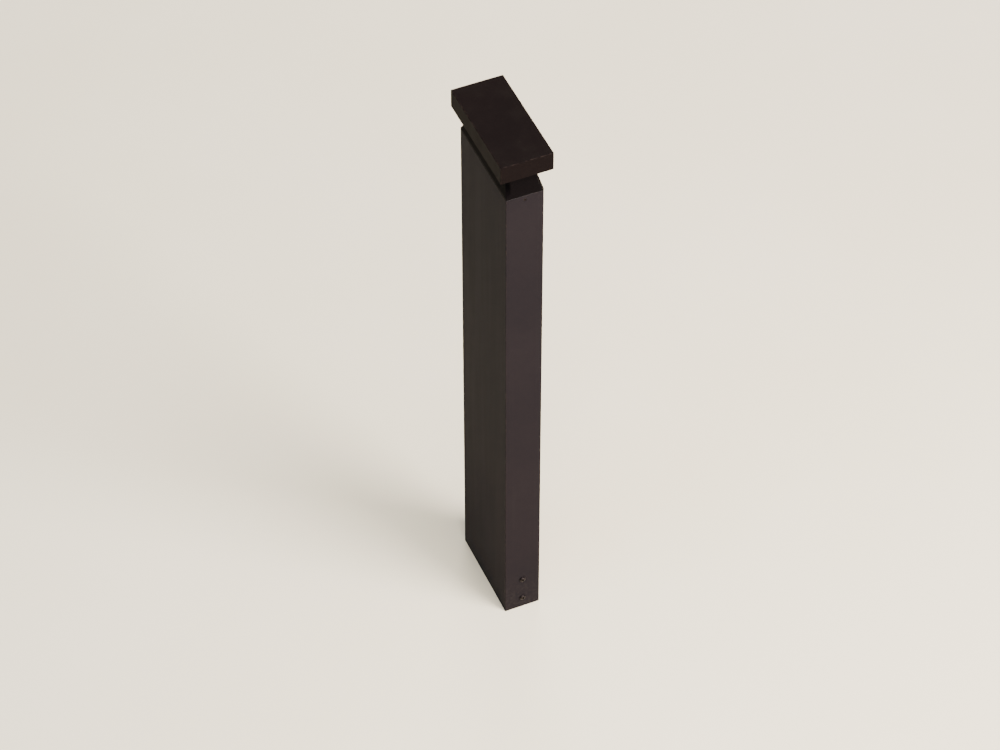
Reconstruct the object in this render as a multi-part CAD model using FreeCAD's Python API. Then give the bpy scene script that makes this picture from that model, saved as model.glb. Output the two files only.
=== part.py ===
"""Rectangular bollard light: a slab head on a tapered neck, a rectangular post and an anchor base.

The origin is on the ground at the middle of the post. +Z is up, Y runs along the long side of the
section and X along the short side. All sizes are millimetres.

From the ground up: the anchor base is bolted to the foundation; the post drops over it and is clamped by
two bars that slide in the base's open slots; the neck's spigot plugs into the top of the post; the head
is screwed to the neck, and its two windows look down on either side of the neck. The gear tray with the
driver hangs from the neck inside the post, so it comes out with the head.
"""

import FreeCAD
import Part
import math
import os

from FreeCAD import Vector

# ---------------------------------------------------------------- driving dimensions
# Post: an extruded rectangular tube.
POST_HEIGHT = 986.0
POST_LONG = 180.0
POST_SHORT = 64.0
POST_WALL = 3.0
POST_CORNER = 1.0

# Neck: a hollow casting with a flush lip, a tapered body and a spigot.
TOP_GASKET = 1.0
NECK_LIP = 3.0
NECK_TAPER = 43.0
NECK_INSET_X = 10.0
NECK_INSET_Y = 9.0
NECK_WALL = 3.5
NECK_TOP_PLATE = 5.0
NECK_BOSS_RADIUS = 5.0    # round the neck screws, on the head's cover
NECK_BOSS_HEIGHT = 7.0
NECK_SCREW_BITE = 5.0     # how far a neck screw stands past the cover
WIRE_WAY_MARGIN = 12.0    # from a neck screw to the end of the opening for the lead
SPIGOT_DEPTH = 26.0
LUG_WIDE = 16.0           # blocks in the spigot that carry the gear tray

# Head: a slab housing that is open below, closed by a recessed bottom cover.
HEAD_OVERHANG_SIDE = 12.5   # past each wide side of the post
HEAD_OVERHANG_END = 8.0     # past each narrow end of the post
HEAD_HEIGHT = 34.0
HEAD_WALL = 3.2
HEAD_TOP = 4.0
HEAD_CORNER = 1.0
HEAD_EDGE = 0.8
HEAD_LEDGE = 3.0
COVER_RECESS = 1.0
COVER_THICK = 5.0
COVER_GASKET = 1.5
BOSS_RADIUS = 4.5         # round the cover screws, inside the housing
BOSS_WEB = 4.0            # joins each boss to the nearest wall
COVER_SCREW_BITE = 11.0
COUNTERBORE = 2.2

# Windows and light engines, one on each side of the neck.
WINDOW_LEDGE = 1.6
WINDOW_GASKET = 0.6
WINDOW_GLASS = 2.6
WINDOW_END_MARGIN = 6.0
NECK_LAND = 2.4
BOARD_THICK = 1.6
BOARD_LEVEL = 12.0        # from the cover's upper face up to the board's lower face
SPREADER_WEB = 3.0
PAD_LAND = 3.0            # strip of board left clear of the optic for the solder pads
LED_COUNT = 10
LED_SIZE = 3.0
LED_THICK = 0.8
OPTIC_FLANGE = 1.5
OPTIC_DOME = 3.4

# Anchor base: a cast plate with an upright skirt that the post drops over.
BASE_PLATE = 10.0
BASE_HEIGHT = 90.0
BASE_WALL = 6.0
ANCHOR_SPACING_X = 26.0
ANCHOR_SPACING_Y = 120.0
ANCHOR_HOLE = 11.0
CONDUIT_HOLE = 34.0
LOCK_SCREW_LOW = 24.0
LOCK_SCREW_HIGH = 72.0
CLAMP_WIDTH = 20.0
CLAMP_THICK = 6.0
CLAMP_END = 11.0          # bar left past each clamp screw

# Gear tray and what it carries.
TRAY_LONG = 336.0
TRAY_WIDE = 112.0
TRAY_SHEET = 1.5
TRAY_FLANGE = 10.0
TRAY_OFFSET = 12.5        # the tray's mounting face, this far to the -X side of the middle
DRIVER_LONG = 158.0
DRIVER_WIDE = 58.0
DRIVER_DEEP = 27.0
SURGE_LONG = 56.0
SURGE_WIDE = 34.0
SURGE_DEEP = 21.0
EAR_LONG = 11.0           # mounting ears past both ends of a case
EAR_WIDE = 16.0
EAR_THICK = 2.0
LEAD_DIAMETER = 7.0
WIRE_DIAMETER = 2.2
BOARD_WIRE_DIAMETER = 1.6

# Fasteners: (thread, head diameter, head height, socket across flats).
M3_PAN = (3.0, 5.6, 2.0, 2.0)
M4_PAN = (4.0, 7.6, 2.6, 2.5)
M5_CAP = (5.0, 8.5, 5.0, 4.0)
M6_BUTTON = (6.0, 10.5, 3.3, 4.0)
NECK_SET_SCREW = 5.0
NECK_SET_SCREW_DROP = 8.0

# Clearances.
FIT_GAP = 0.4             # between the post's bore and the neck's spigot or the base's skirt, each side
COVER_GAP = 0.3           # between the cover's edge and the housing's rim
GLASS_GAP = 0.3           # around each window
THREAD_GAP = 0.05         # around a screw in its tapped hole
HOLE_GAP = 0.3            # around a screw in its clearance hole
TOUCH_GAP = 0.3           # between a set screw's tip and what it presses on

# ---------------------------------------------------------------- levels and places worked out from them
NECK_BOTTOM = POST_HEIGHT + TOP_GASKET
TAPER_BOTTOM = NECK_BOTTOM + NECK_LIP
HEAD_BOTTOM = TAPER_BOTTOM + NECK_TAPER
HEAD_TOP_LEVEL = HEAD_BOTTOM + HEAD_HEIGHT
COVER_BOTTOM = HEAD_BOTTOM + COVER_RECESS
COVER_TOP = COVER_BOTTOM + COVER_THICK
LEDGE_LEVEL = COVER_TOP + COVER_GASKET
CEILING = HEAD_TOP_LEVEL - HEAD_TOP
BOARD_BOTTOM = COVER_TOP + BOARD_LEVEL
BOARD_TOP = BOARD_BOTTOM + BOARD_THICK

BORE_X = POST_SHORT / 2 - POST_WALL
BORE_Y = POST_LONG / 2 - POST_WALL
SPIGOT_X = BORE_X - FIT_GAP
SPIGOT_Y = BORE_Y - FIT_GAP
SPIGOT_BOTTOM = POST_HEIGHT - SPIGOT_DEPTH
NECK_TOP_X = POST_SHORT / 2 - NECK_INSET_X
NECK_TOP_Y = POST_LONG / 2 - NECK_INSET_Y

HEAD_X = POST_SHORT / 2 + HEAD_OVERHANG_SIDE
HEAD_Y = POST_LONG / 2 + HEAD_OVERHANG_END
RIM_X = HEAD_X - HEAD_WALL
RIM_Y = HEAD_Y - HEAD_WALL
LEDGE_X = RIM_X - HEAD_LEDGE
LEDGE_Y = RIM_Y - HEAD_LEDGE
POCKET_IN = NECK_TOP_X + NECK_LAND
POCKET_OUT = LEDGE_X - GLASS_GAP
SLOT_IN = POCKET_IN + WINDOW_LEDGE
SLOT_OUT = POCKET_OUT - WINDOW_LEDGE
SLOT_HALF_Y = NECK_TOP_Y - WINDOW_END_MARGIN
POCKET_HALF_Y = SLOT_HALF_Y + WINDOW_LEDGE
COVER_SCREW_X = LEDGE_X - 5.3
COVER_SCREW_Y = LEDGE_Y - 4.8
BOARD_HALF_Y = SLOT_HALF_Y + 2.0
LED_X = (SLOT_IN + PAD_LAND + SLOT_OUT) / 2
LED_PITCH = 2 * SLOT_HALF_Y / (LED_COUNT + 0.5)
NECK_BOLT_X = NECK_TOP_X - 10.0
NECK_BOLT_Y = NECK_TOP_Y - 13.0
GLAND_THREAD = 16.0
GLAND_HEX = 20.0
VENT_THREAD = 12.0
VENT_Y = 42.0

LUG_Y = 40.0
TRAY_TOP = POST_HEIGHT - 2.0
TRAY_BOTTOM = TRAY_TOP - TRAY_LONG
TRAY_SCREW_Z = SPIGOT_BOTTOM + 14.0
DRIVER_TOP = SPIGOT_BOTTOM - 24.0
DRIVER_BOTTOM = DRIVER_TOP - DRIVER_LONG
SURGE_BOTTOM = TRAY_BOTTOM + 16.0
SURGE_TOP = SURGE_BOTTOM + SURGE_LONG
SURGE_Y = -30.0
CONNECTOR_Y = 12.0
CONNECTOR_PITCH = 15.0
CONNECTOR_SIZE = (12.5, 19.0, 9.0)
CONNECTOR_BOTTOM = SURGE_BOTTOM + 14.0
LEAD_X = 3.0
GROUND_SCREW_Y = 30.0

SIDES = (("left", -1), ("right", 1))
ENDS = (-1, 1)
PARTS = "parts"


# ---------------------------------------------------------------- shape helpers
def box(x0, x1, y0, y1, z0, z1):
    """A block between two corners, given in any order."""
    low = Vector(min(x0, x1), min(y0, y1), min(z0, z1))
    return Part.makeBox(abs(x1 - x0), abs(y1 - y0), abs(z1 - z0), low)


def rod(radius, start, end):
    """A cylinder from one point to another."""
    run = end.sub(start)
    return Part.makeCylinder(radius, run.Length, start, run)


def upright_rod(radius, x, y, z0, z1):
    """A cylinder along Z between two heights."""
    return rod(radius, Vector(x, y, z0), Vector(x, y, z1))


def outline(half_x, half_y, corner, z):
    """A rectangle with round corners, as one closed wire at height z."""
    edges = []
    turn = corner * math.sqrt(0.5)
    spots = ((1, 1), (-1, 1), (-1, -1), (1, -1))
    for i, (sx, sy) in enumerate(spots):
        cx = sx * (half_x - corner)
        cy = sy * (half_y - corner)
        along_x = Vector(cx, sy * half_y, z)
        along_y = Vector(sx * half_x, cy, z)
        middle = Vector(cx + sx * turn, cy + sy * turn, z)
        first, last = (along_y, along_x) if i % 2 == 0 else (along_x, along_y)
        edges.append(Part.Arc(first, middle, last).toShape())
        nx, ny = spots[(i + 1) % 4]
        ex = nx * (half_x - corner) if i % 2 == 0 else nx * half_x
        ey = ny * half_y if i % 2 == 0 else ny * (half_y - corner)
        edges.append(Part.LineSegment(last, Vector(ex, ey, z)).toShape())
    return Part.Wire(edges)


def prism(half_x, half_y, corner, z0, z1):
    """A round-cornered upright block."""
    return Part.Face(outline(half_x, half_y, corner, z0)).extrude(Vector(0, 0, z1 - z0))


def taper(low, high, corner, z0, z1):
    """A round-cornered block whose half sizes go from low at z0 to high at z1."""
    wires = [outline(low[0], low[1], corner, z0), outline(high[0], high[1], corner, z1)]
    return Part.makeLoft(wires, True, True)


def ring(half_x, half_y, width, corner, z0, z1):
    """A flat rectangular ring of the given width, such as a gasket."""
    inner = prism(half_x - width, half_y - width, corner, z0 - 1, z1 + 1)
    return prism(half_x, half_y, corner, z0, z1).cut(inner)


def hexagon(flats, z0, z1):
    """A hexagonal prism about the Z axis, measured across its flats."""
    radius = flats / math.sqrt(3)
    points = [
        Vector(radius * math.cos(math.radians(60 * i)), radius * math.sin(math.radians(60 * i)), z0)
        for i in range(7)
    ]
    return Part.Face(Part.makePolygon(points)).extrude(Vector(0, 0, z1 - z0))


def turned(points, arcs=()):
    """A solid turned about Z from (radius, height) points. arcs maps a segment to its middle point."""
    edges = []
    for i, (r, z) in enumerate(points):
        r2, z2 = points[(i + 1) % len(points)]
        start, end = Vector(r, 0, z), Vector(r2, 0, z2)
        if i in dict(arcs):
            rm, zm = dict(arcs)[i]
            edges.append(Part.Arc(start, Vector(rm, 0, zm), end).toShape())
        else:
            edges.append(Part.LineSegment(start, end).toShape())
    return Part.Face(Part.Wire(edges)).revolve(Vector(0, 0, 0), Vector(0, 0, 1), 360)


def place(shape, at, towards):
    """Turns a shape's +Z to a direction and moves its origin to a point."""
    moved = shape.copy()
    turn = FreeCAD.Rotation(Vector(0, 0, 1), towards)
    moved.Placement = FreeCAD.Placement(at, turn)
    return moved


def join(shapes):
    """One solid from several that overlap, with its leftover seams cleaned away."""
    whole = shapes[0].fuse(list(shapes[1:])) if len(shapes) > 1 else shapes[0]
    return whole.removeSplitter()


def cut_all(shape, tools):
    """A shape with every tool cut out of it."""
    return shape.cut(Part.makeCompound(list(tools)))


def both_sides(shape):
    """A shape on the +X side and its mirror image on the -X side."""
    return {"right": shape, "left": shape.mirror(Vector(0, 0, 0), Vector(1, 0, 0))}


# ---------------------------------------------------------------- fasteners
def headed_screw(size, length, button=False):
    """A socket screw along -Z with its head's underside at z = 0: a domed button or a straight cap."""
    thread, head, height, socket = size
    top = head * (0.28 if button else 0.46)
    bulge = (head * 0.43, height * 0.72) if button else (head * 0.49, height * 0.85)
    shank = [(0, -length), (thread / 2, -length), (thread / 2, 0)]
    profile = shank + [(head / 2, 0), (top, height), (0, height)]
    body = turned(profile, {3: bulge})
    return body.cut(hexagon(socket, height * 0.35, height + 1))


def set_screw(thread, length, socket):
    """A headless screw along -Z with its socket end at z = 0."""
    chamfer = thread * 0.12
    profile = [
        (0, -length),
        (thread / 2 - chamfer, -length),
        (thread / 2, -length + chamfer),
        (thread / 2, 0),
        (0, 0),
    ]
    return turned(profile).cut(hexagon(socket, -length * 0.6, 1))


# ---------------------------------------------------------------- wires
def route(points):
    """Straight runs joined by tangent arcs, each as large as its two runs allow."""
    edges = []
    start = points[0]
    for before, here, after in zip(points, points[1:], points[2:]):
        into = here.sub(before)
        out = after.sub(here)
        reach = 0.45 * min(into.Length, out.Length)
        into.normalize()
        out.normalize()
        first = here.sub(into * reach)
        last = here.add(out * reach)
        half = math.acos(max(-1.0, min(1.0, into.dot(out)))) / 2
        bisector = out.sub(into).normalize()
        radius = reach / math.tan(half)
        middle = here.add(bisector * (radius / math.cos(half) - radius))
        edges.append(Part.LineSegment(start, first).toShape())
        edges.append(Part.Arc(first, middle, last).toShape())
        start = last
    edges.append(Part.LineSegment(start, points[-1]).toShape())
    return Part.Wire(edges)


def cable(points, diameter):
    """A round cable swept along a route, checked against its section times its length."""
    points = [Vector(*p) for p in points]
    path = route(points)
    circle = Part.Circle(points[0], points[1].sub(points[0]), diameter / 2).toShape()
    swept = path.makePipeShell([Part.Wire(circle)], True, False)
    expected = math.pi * diameter**2 / 4 * path.Length
    if abs(swept.Volume - expected) > 0.02 * expected:
        raise ValueError(f"a cable's volume is {swept.Volume:.1f}, not {expected:.1f}")
    return swept


# ---------------------------------------------------------------- post
def lock_screw_places():
    """The four places on the narrow ends where the clamp screws go in: (end, height)."""
    return [(end, z) for end in ENDS for z in (LOCK_SCREW_LOW, LOCK_SCREW_HIGH)]


def post_tube():
    """The extruded tube, with clearance holes for the clamp screws and tapped holes for the set screws."""
    corner_in = max(POST_CORNER - POST_WALL, 0.6)
    tube = prism(POST_SHORT / 2, POST_LONG / 2, POST_CORNER, 0, POST_HEIGHT)
    tube = tube.cut(prism(BORE_X, BORE_Y, corner_in, -1, POST_HEIGHT + 1))
    holes = []
    for end, z in lock_screw_places():
        radius = M6_BUTTON[0] / 2 + HOLE_GAP
        holes.append(rod(radius, Vector(0, end * (BORE_Y - 5), z), Vector(0, end * (POST_LONG / 2 + 5), z)))
    z = POST_HEIGHT - NECK_SET_SCREW_DROP
    for end in ENDS:
        radius = NECK_SET_SCREW / 2 + THREAD_GAP
        holes.append(rod(radius, Vector(0, end * (BORE_Y - 5), z), Vector(0, end * (POST_LONG / 2 + 5), z)))
    return cut_all(tube, holes)


def base_lock_screws():
    """Four button screws through the post's narrow ends into the clamp bars."""
    inner_face = BORE_Y - FIT_GAP - BASE_WALL - HOLE_GAP
    length = POST_LONG / 2 - inner_face + CLAMP_THICK - 0.5
    screw = headed_screw(M6_BUTTON, length, button=True)
    return [
        place(screw, Vector(0, end * POST_LONG / 2, z), Vector(0, end, 0))
        for end, z in lock_screw_places()
    ]


def clamp_bar(end):
    """A steel bar with two tapped holes, drawn against the inside of the base's slotted end wall."""
    face = BORE_Y - FIT_GAP - BASE_WALL - HOLE_GAP
    low = LOCK_SCREW_LOW - CLAMP_END
    high = LOCK_SCREW_HIGH + CLAMP_END
    bar = box(-CLAMP_WIDTH / 2, CLAMP_WIDTH / 2, end * face, end * (face - CLAMP_THICK), low, high)
    upright = [e for e in bar.Edges if abs(e.Vertexes[0].Y - e.Vertexes[1].Y) > 1]
    bar = bar.makeFillet(2.0, upright)
    radius = M6_BUTTON[0] / 2 + THREAD_GAP
    holes = [
        rod(radius, Vector(0, end * (face - CLAMP_THICK - 2), z), Vector(0, end * (face + 2), z))
        for z in (LOCK_SCREW_LOW, LOCK_SCREW_HIGH)
    ]
    return cut_all(bar, holes)


def neck_set_screws():
    """Two socket set screws in the post's wall that press on the neck's spigot."""
    sunk = 0.4
    length = POST_LONG / 2 - sunk - SPIGOT_Y - TOUCH_GAP
    screw = set_screw(NECK_SET_SCREW, length, 2.5)
    z = POST_HEIGHT - NECK_SET_SCREW_DROP
    return [place(screw, Vector(0, end * (POST_LONG / 2 - sunk), z), Vector(0, end, 0)) for end in ENDS]


def post_top_gasket():
    """A thin seal between the top of the post and the neck's lip."""
    setback = 0.5
    width = POST_WALL - setback - 0.2
    return ring(
        POST_SHORT / 2 - setback, POST_LONG / 2 - setback, width, POST_CORNER / 2, POST_HEIGHT, NECK_BOTTOM
    )


# ---------------------------------------------------------------- anchor base
def anchor_places():
    """The four anchor bolt centres on the base plate."""
    return [(sx * ANCHOR_SPACING_X / 2, sy * ANCHOR_SPACING_Y / 2) for sx in (-1, 1) for sy in (-1, 1)]


def anchor_base():
    """The cast base: a plate, a skirt with an open slot at each end, and pads round the anchor holes."""
    skirt = prism(SPIGOT_X, SPIGOT_Y, 2.0, 0, BASE_HEIGHT)
    inner = prism(SPIGOT_X - BASE_WALL, SPIGOT_Y - BASE_WALL, 3.0, BASE_PLATE, BASE_HEIGHT + 1)
    lead_in = [e for e in skirt.Edges if e.BoundBox.ZMin > BASE_HEIGHT - 0.1]
    base = skirt.makeChamfer(1.5, lead_in).cut(inner)
    tools = []
    slot = M6_BUTTON[0] / 2 + 2 * HOLE_GAP
    for end in ENDS:
        y0 = end * (SPIGOT_Y - BASE_WALL - 1)
        y1 = end * (SPIGOT_Y + 1)
        tools.append(box(-slot, slot, y0, y1, LOCK_SCREW_LOW, BASE_HEIGHT + 1))
        tools.append(rod(slot, Vector(0, y0, LOCK_SCREW_LOW), Vector(0, y1, LOCK_SCREW_LOW)))
    for x, y in anchor_places():
        tools.append(upright_rod(ANCHOR_HOLE / 2, x, y, -1, BASE_PLATE + 1))
    tools.append(upright_rod(CONDUIT_HOLE / 2, 0, 0, -1, BASE_PLATE + 1))
    gx, gy = ground_place()
    tools.append(upright_rod(M4_PAN[0] / 2 + THREAD_GAP, gx, gy, BASE_PLATE - 7, BASE_PLATE + 5))
    return cut_all(base, tools)


def ground_place():
    """The ground screw's place on the base plate, between the conduit hole and an anchor hole."""
    return 0.0, (CONDUIT_HOLE / 2 + ANCHOR_SPACING_Y / 2 - ANCHOR_HOLE / 2) / 2 + 2.0


def ground_screw():
    """The screw that bonds the incoming earth wire to the base, above its washer."""
    gx, gy = ground_place()
    return place(headed_screw(M4_PAN, 6.0), Vector(gx, gy, BASE_PLATE + 1.0), Vector(0, 0, 1))


def ground_washer():
    """A flat washer under the ground screw's head."""
    gx, gy = ground_place()
    washer = Part.makeCylinder(5.0, 1.0).cut(Part.makeCylinder(M4_PAN[0] / 2 + HOLE_GAP, 1.0))
    return place(washer, Vector(gx, gy, BASE_PLATE), Vector(0, 0, 1))


# ---------------------------------------------------------------- neck
def neck_bolt_places():
    """The four screws that hold the head on the neck."""
    return [(sx * NECK_BOLT_X, sy * NECK_BOLT_Y) for sx in (-1, 1) for sy in (-1, 1)]


def tray_lugs():
    """Blocks inside the spigot that the gear tray is screwed to."""
    wall = SPIGOT_X - NECK_WALL + 0.5
    face = -TRAY_OFFSET - TRAY_SHEET
    half = LUG_WIDE / 2
    return [box(-wall, face, y - half, y + half, SPIGOT_BOTTOM + 4, TAPER_BOTTOM) for y in (-LUG_Y, LUG_Y)]


def neck_casting():
    """The spigot, the lip that caps the post, and the hollow tapered body with its drilled top plate."""
    spigot = prism(SPIGOT_X, SPIGOT_Y, 1.5, SPIGOT_BOTTOM, TAPER_BOTTOM)
    lip = prism(POST_SHORT / 2, POST_LONG / 2, POST_CORNER, NECK_BOTTOM, TAPER_BOTTOM)
    low = (POST_SHORT / 2, POST_LONG / 2)
    body = taper(low, (NECK_TOP_X, NECK_TOP_Y), POST_CORNER, TAPER_BOTTOM, HEAD_BOTTOM)
    cavity_x = SPIGOT_X - NECK_WALL
    cavity_y = SPIGOT_Y - NECK_WALL
    ceiling = HEAD_BOTTOM - NECK_TOP_PLATE
    shaft = prism(cavity_x, cavity_y, 2.0, SPIGOT_BOTTOM - 1, TAPER_BOTTOM)
    share = (ceiling - TAPER_BOTTOM) / NECK_TAPER
    high = (
        min(cavity_x, POST_SHORT / 2 - NECK_INSET_X * share - NECK_WALL),
        min(cavity_y, POST_LONG / 2 - NECK_INSET_Y * share - NECK_WALL),
    )
    hollow = taper((cavity_x, cavity_y), high, 2.0, TAPER_BOTTOM, ceiling)
    casting = join([spigot, lip, body]).cut(shaft).cut(hollow)
    casting = join([casting] + tray_lugs())
    opening = prism(NECK_BOLT_X + 1.0, NECK_BOLT_Y - WIRE_WAY_MARGIN, 6.0, ceiling - 1, HEAD_BOTTOM + 1)
    tools = [opening]
    for x, y in neck_bolt_places():
        tools.append(upright_rod(M5_CAP[0] / 2 + HOLE_GAP, x, y, ceiling - 1, HEAD_BOTTOM + 1))
    for y in (-LUG_Y, LUG_Y):
        start = Vector(-TRAY_OFFSET, y, TRAY_SCREW_Z)
        tools.append(rod(M4_PAN[0] / 2 + THREAD_GAP, start, start.add(Vector(-11, 0, 0))))
    return cut_all(casting, tools)


def neck_gasket():
    """The seal between the neck's top plate and the head's bottom cover."""
    setback = 0.6
    sheet = prism(NECK_TOP_X - setback, NECK_TOP_Y - setback, 1.5, HEAD_BOTTOM, COVER_BOTTOM)
    way = NECK_BOLT_Y - WIRE_WAY_MARGIN
    opening = prism(NECK_BOLT_X + 1.0, way, 6.0, HEAD_BOTTOM - 1, COVER_BOTTOM + 1)
    holes = [
        upright_rod(M5_CAP[0] / 2 + HOLE_GAP, x, y, HEAD_BOTTOM - 1, COVER_BOTTOM + 1)
        for x, y in neck_bolt_places()
    ]
    return cut_all(sheet, [opening] + holes)


def neck_screws():
    """Four cap screws up through the neck's top plate into the bosses of the head's cover."""
    length = NECK_TOP_PLATE + COVER_RECESS + COVER_THICK + NECK_SCREW_BITE
    screw = headed_screw(M5_CAP, length)
    z = HEAD_BOTTOM - NECK_TOP_PLATE
    return [place(screw, Vector(x, y, z), Vector(0, 0, -1)) for x, y in neck_bolt_places()]


# ---------------------------------------------------------------- head
def cover_screw_places():
    """Four corner screws and one at the middle of each narrow end."""
    corners = [(sx * COVER_SCREW_X, sy * COVER_SCREW_Y) for sx in (-1, 1) for sy in (-1, 1)]
    return corners + [(0.0, sy * COVER_SCREW_Y) for sy in (-1, 1)]


def head_housing():
    """The cast slab, hollow from below, with a sealing ledge and screw bosses tied to the walls."""
    slab = prism(HEAD_X, HEAD_Y, HEAD_CORNER, HEAD_BOTTOM, HEAD_TOP_LEVEL)
    slab = slab.makeFillet(HEAD_EDGE, [e for e in slab.Edges if e.BoundBox.ZMin > HEAD_TOP_LEVEL - 0.1])
    slab = slab.makeFillet(HEAD_EDGE / 2, [e for e in slab.Edges if e.BoundBox.ZMax < HEAD_BOTTOM + 0.1])
    pocket = prism(RIM_X, RIM_Y, 1.2, HEAD_BOTTOM - 1, LEDGE_LEVEL)
    cavity = prism(LEDGE_X, LEDGE_Y, 2.0, LEDGE_LEVEL - 1, CEILING)
    shell = slab.cut(pocket).cut(cavity)
    bosses = [upright_rod(BOSS_RADIUS, x, y, COVER_TOP, CEILING + 1) for x, y in cover_screw_places()]
    half = BOSS_WEB / 2
    webs = [
        box(x - half, x + half, y, math.copysign(LEDGE_Y + 0.5, y), LEDGE_LEVEL, CEILING + 0.5)
        for x, y in cover_screw_places()
    ]
    housing = join([shell] + bosses + webs)
    bored = M4_PAN[0] / 2 + THREAD_GAP
    deep = COVER_TOP + COVER_SCREW_BITE + 1
    holes = [upright_rod(bored, x, y, COVER_TOP - 1, deep) for x, y in cover_screw_places()]
    for x, y in spreader_screw_places():
        holes.append(upright_rod(M3_PAN[0] / 2 + THREAD_GAP, x, y, CEILING - 1, CEILING + 2.6))
    return cut_all(housing, holes)


def bottom_cover():
    """The recessed cover: stepped window slots, bosses for the neck screws, gland and vent holes."""
    plate = prism(RIM_X - COVER_GAP, RIM_Y - COVER_GAP, 1.0, COVER_BOTTOM, COVER_TOP)
    high = COVER_TOP + NECK_BOSS_HEIGHT
    bosses = [upright_rod(NECK_BOSS_RADIUS, x, y, COVER_TOP - 1, high) for x, y in neck_bolt_places()]
    cover = join([plate] + bosses)
    tools = []
    floor = COVER_TOP - WINDOW_GLASS - WINDOW_GASKET
    for _, side in SIDES:
        slot = (side * SLOT_IN, side * SLOT_OUT, -SLOT_HALF_Y, SLOT_HALF_Y)
        pocket = (side * POCKET_IN, side * POCKET_OUT, -POCKET_HALF_Y, POCKET_HALF_Y)
        tools.append(box(*slot, COVER_BOTTOM - 1, COVER_TOP + 1))
        tools.append(box(*pocket, floor, COVER_TOP + 1))
    for x, y in neck_bolt_places():
        deep = COVER_TOP + NECK_SCREW_BITE + 0.4
        tools.append(upright_rod(M5_CAP[0] / 2 + THREAD_GAP, x, y, COVER_BOTTOM - 1, deep))
    for x, y in cover_screw_places():
        tools.append(upright_rod(M4_PAN[0] / 2 + HOLE_GAP, x, y, COVER_BOTTOM - 1, COVER_TOP + 1))
        sunk = COVER_BOTTOM + COUNTERBORE
        tools.append(upright_rod(M4_PAN[1] / 2 + HOLE_GAP, x, y, COVER_BOTTOM - 1, sunk))
    tools.append(upright_rod(GLAND_THREAD / 2 + HOLE_GAP, 0, 0, COVER_BOTTOM - 1, COVER_TOP + 1))
    vent = VENT_THREAD / 2 + THREAD_GAP
    tools.append(upright_rod(vent, 0, VENT_Y, COVER_BOTTOM - 1, COVER_TOP + 1))
    return cut_all(cover, tools)


def cover_gasket():
    """The seal that the cover presses against the housing's ledge, all the way round."""
    return ring(RIM_X - COVER_GAP, RIM_Y - COVER_GAP, HEAD_LEDGE - COVER_GAP, 1.0, COVER_TOP, LEDGE_LEVEL)


def cover_screws():
    """Six pan screws in counterbores in the cover."""
    screw = headed_screw(M4_PAN, COVER_THICK - COUNTERBORE + COVER_SCREW_BITE)
    seat = COVER_BOTTOM + COUNTERBORE
    return [place(screw, Vector(x, y, seat), Vector(0, 0, -1)) for x, y in cover_screw_places()]


def window(grow=0.0):
    """One window: a glass strip in its pocket on the +X side."""
    gap = GLASS_GAP - grow
    half_x = (POCKET_OUT - POCKET_IN) / 2 - gap
    strip = prism(half_x, POCKET_HALF_Y - gap, 1.0, COVER_TOP - WINDOW_GLASS, COVER_TOP)
    strip.translate(Vector((POCKET_OUT + POCKET_IN) / 2, 0, 0))
    return strip


def window_gasket():
    """The silicone ring that a window lies on, on the +X side."""
    half_x = (POCKET_OUT - POCKET_IN) / 2 - GLASS_GAP
    z0 = COVER_TOP - WINDOW_GLASS - WINDOW_GASKET
    seal = ring(half_x, POCKET_HALF_Y - GLASS_GAP, WINDOW_LEDGE - GLASS_GAP, 0.8, z0, z0 + WINDOW_GASKET)
    seal.translate(Vector((POCKET_OUT + POCKET_IN) / 2, 0, 0))
    return seal


def led_rows():
    """The LEDs' places along Y, evenly spaced about the middle."""
    return [(i - (LED_COUNT - 1) / 2) * LED_PITCH for i in range(LED_COUNT)]


def board_screw_rows():
    """The board screws' places along Y, in the gaps between LEDs."""
    outer = LED_COUNT / 2 * LED_PITCH
    return [-outer, -2 * LED_PITCH, 2 * LED_PITCH, outer]


def spreader_screw_places():
    """Where the heat spreader is screwed to the housing's ceiling."""
    x = SLOT_IN - 8.0
    return [(sx * x, sy * 2.5 * LED_PITCH) for sx in (-1, 1) for sy in (-1, 1)]


def heat_spreader():
    """An extruded aluminium channel under the ceiling, with a leg above each window to carry a board."""
    web = box(-SLOT_OUT, SLOT_OUT, -BOARD_HALF_Y, BOARD_HALF_Y, CEILING - SPREADER_WEB, CEILING)
    legs = [
        box(side * SLOT_IN, side * SLOT_OUT, -BOARD_HALF_Y, BOARD_HALF_Y, BOARD_TOP, CEILING - 1)
        for _, side in SIDES
    ]
    spreader = join([web] + legs)
    tools = []
    for x, y in spreader_screw_places():
        tools.append(upright_rod(M3_PAN[0] / 2 + HOLE_GAP, x, y, CEILING - 9, CEILING + 1))
    for _, side in SIDES:
        for y in board_screw_rows():
            x = side * LED_X
            tools.append(upright_rod(M3_PAN[0] / 2 + THREAD_GAP, x, y, BOARD_TOP - 1, BOARD_TOP + 5))
    return cut_all(spreader, tools)


def spreader_screws():
    """Four screws that hold the heat spreader to the ceiling."""
    screw = headed_screw(M3_PAN, SPREADER_WEB + 2.4)
    z = CEILING - SPREADER_WEB
    return [place(screw, Vector(x, y, z), Vector(0, 0, -1)) for x, y in spreader_screw_places()]


def led_board():
    """One metal-core board on the +X side, with its screw holes."""
    board = box(SLOT_IN, SLOT_OUT, -BOARD_HALF_Y, BOARD_HALF_Y, BOARD_BOTTOM, BOARD_TOP)
    radius = M3_PAN[0] / 2 + HOLE_GAP
    holes = [upright_rod(radius, LED_X, y, BOARD_BOTTOM - 1, BOARD_TOP + 1) for y in board_screw_rows()]
    return cut_all(board, holes)


def led_chips():
    """The LED packages of one board."""
    half = LED_SIZE / 2
    return [
        box(LED_X - half, LED_X + half, y - half, y + half, BOARD_BOTTOM - LED_THICK, BOARD_BOTTOM)
        for y in led_rows()
    ]


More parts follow.
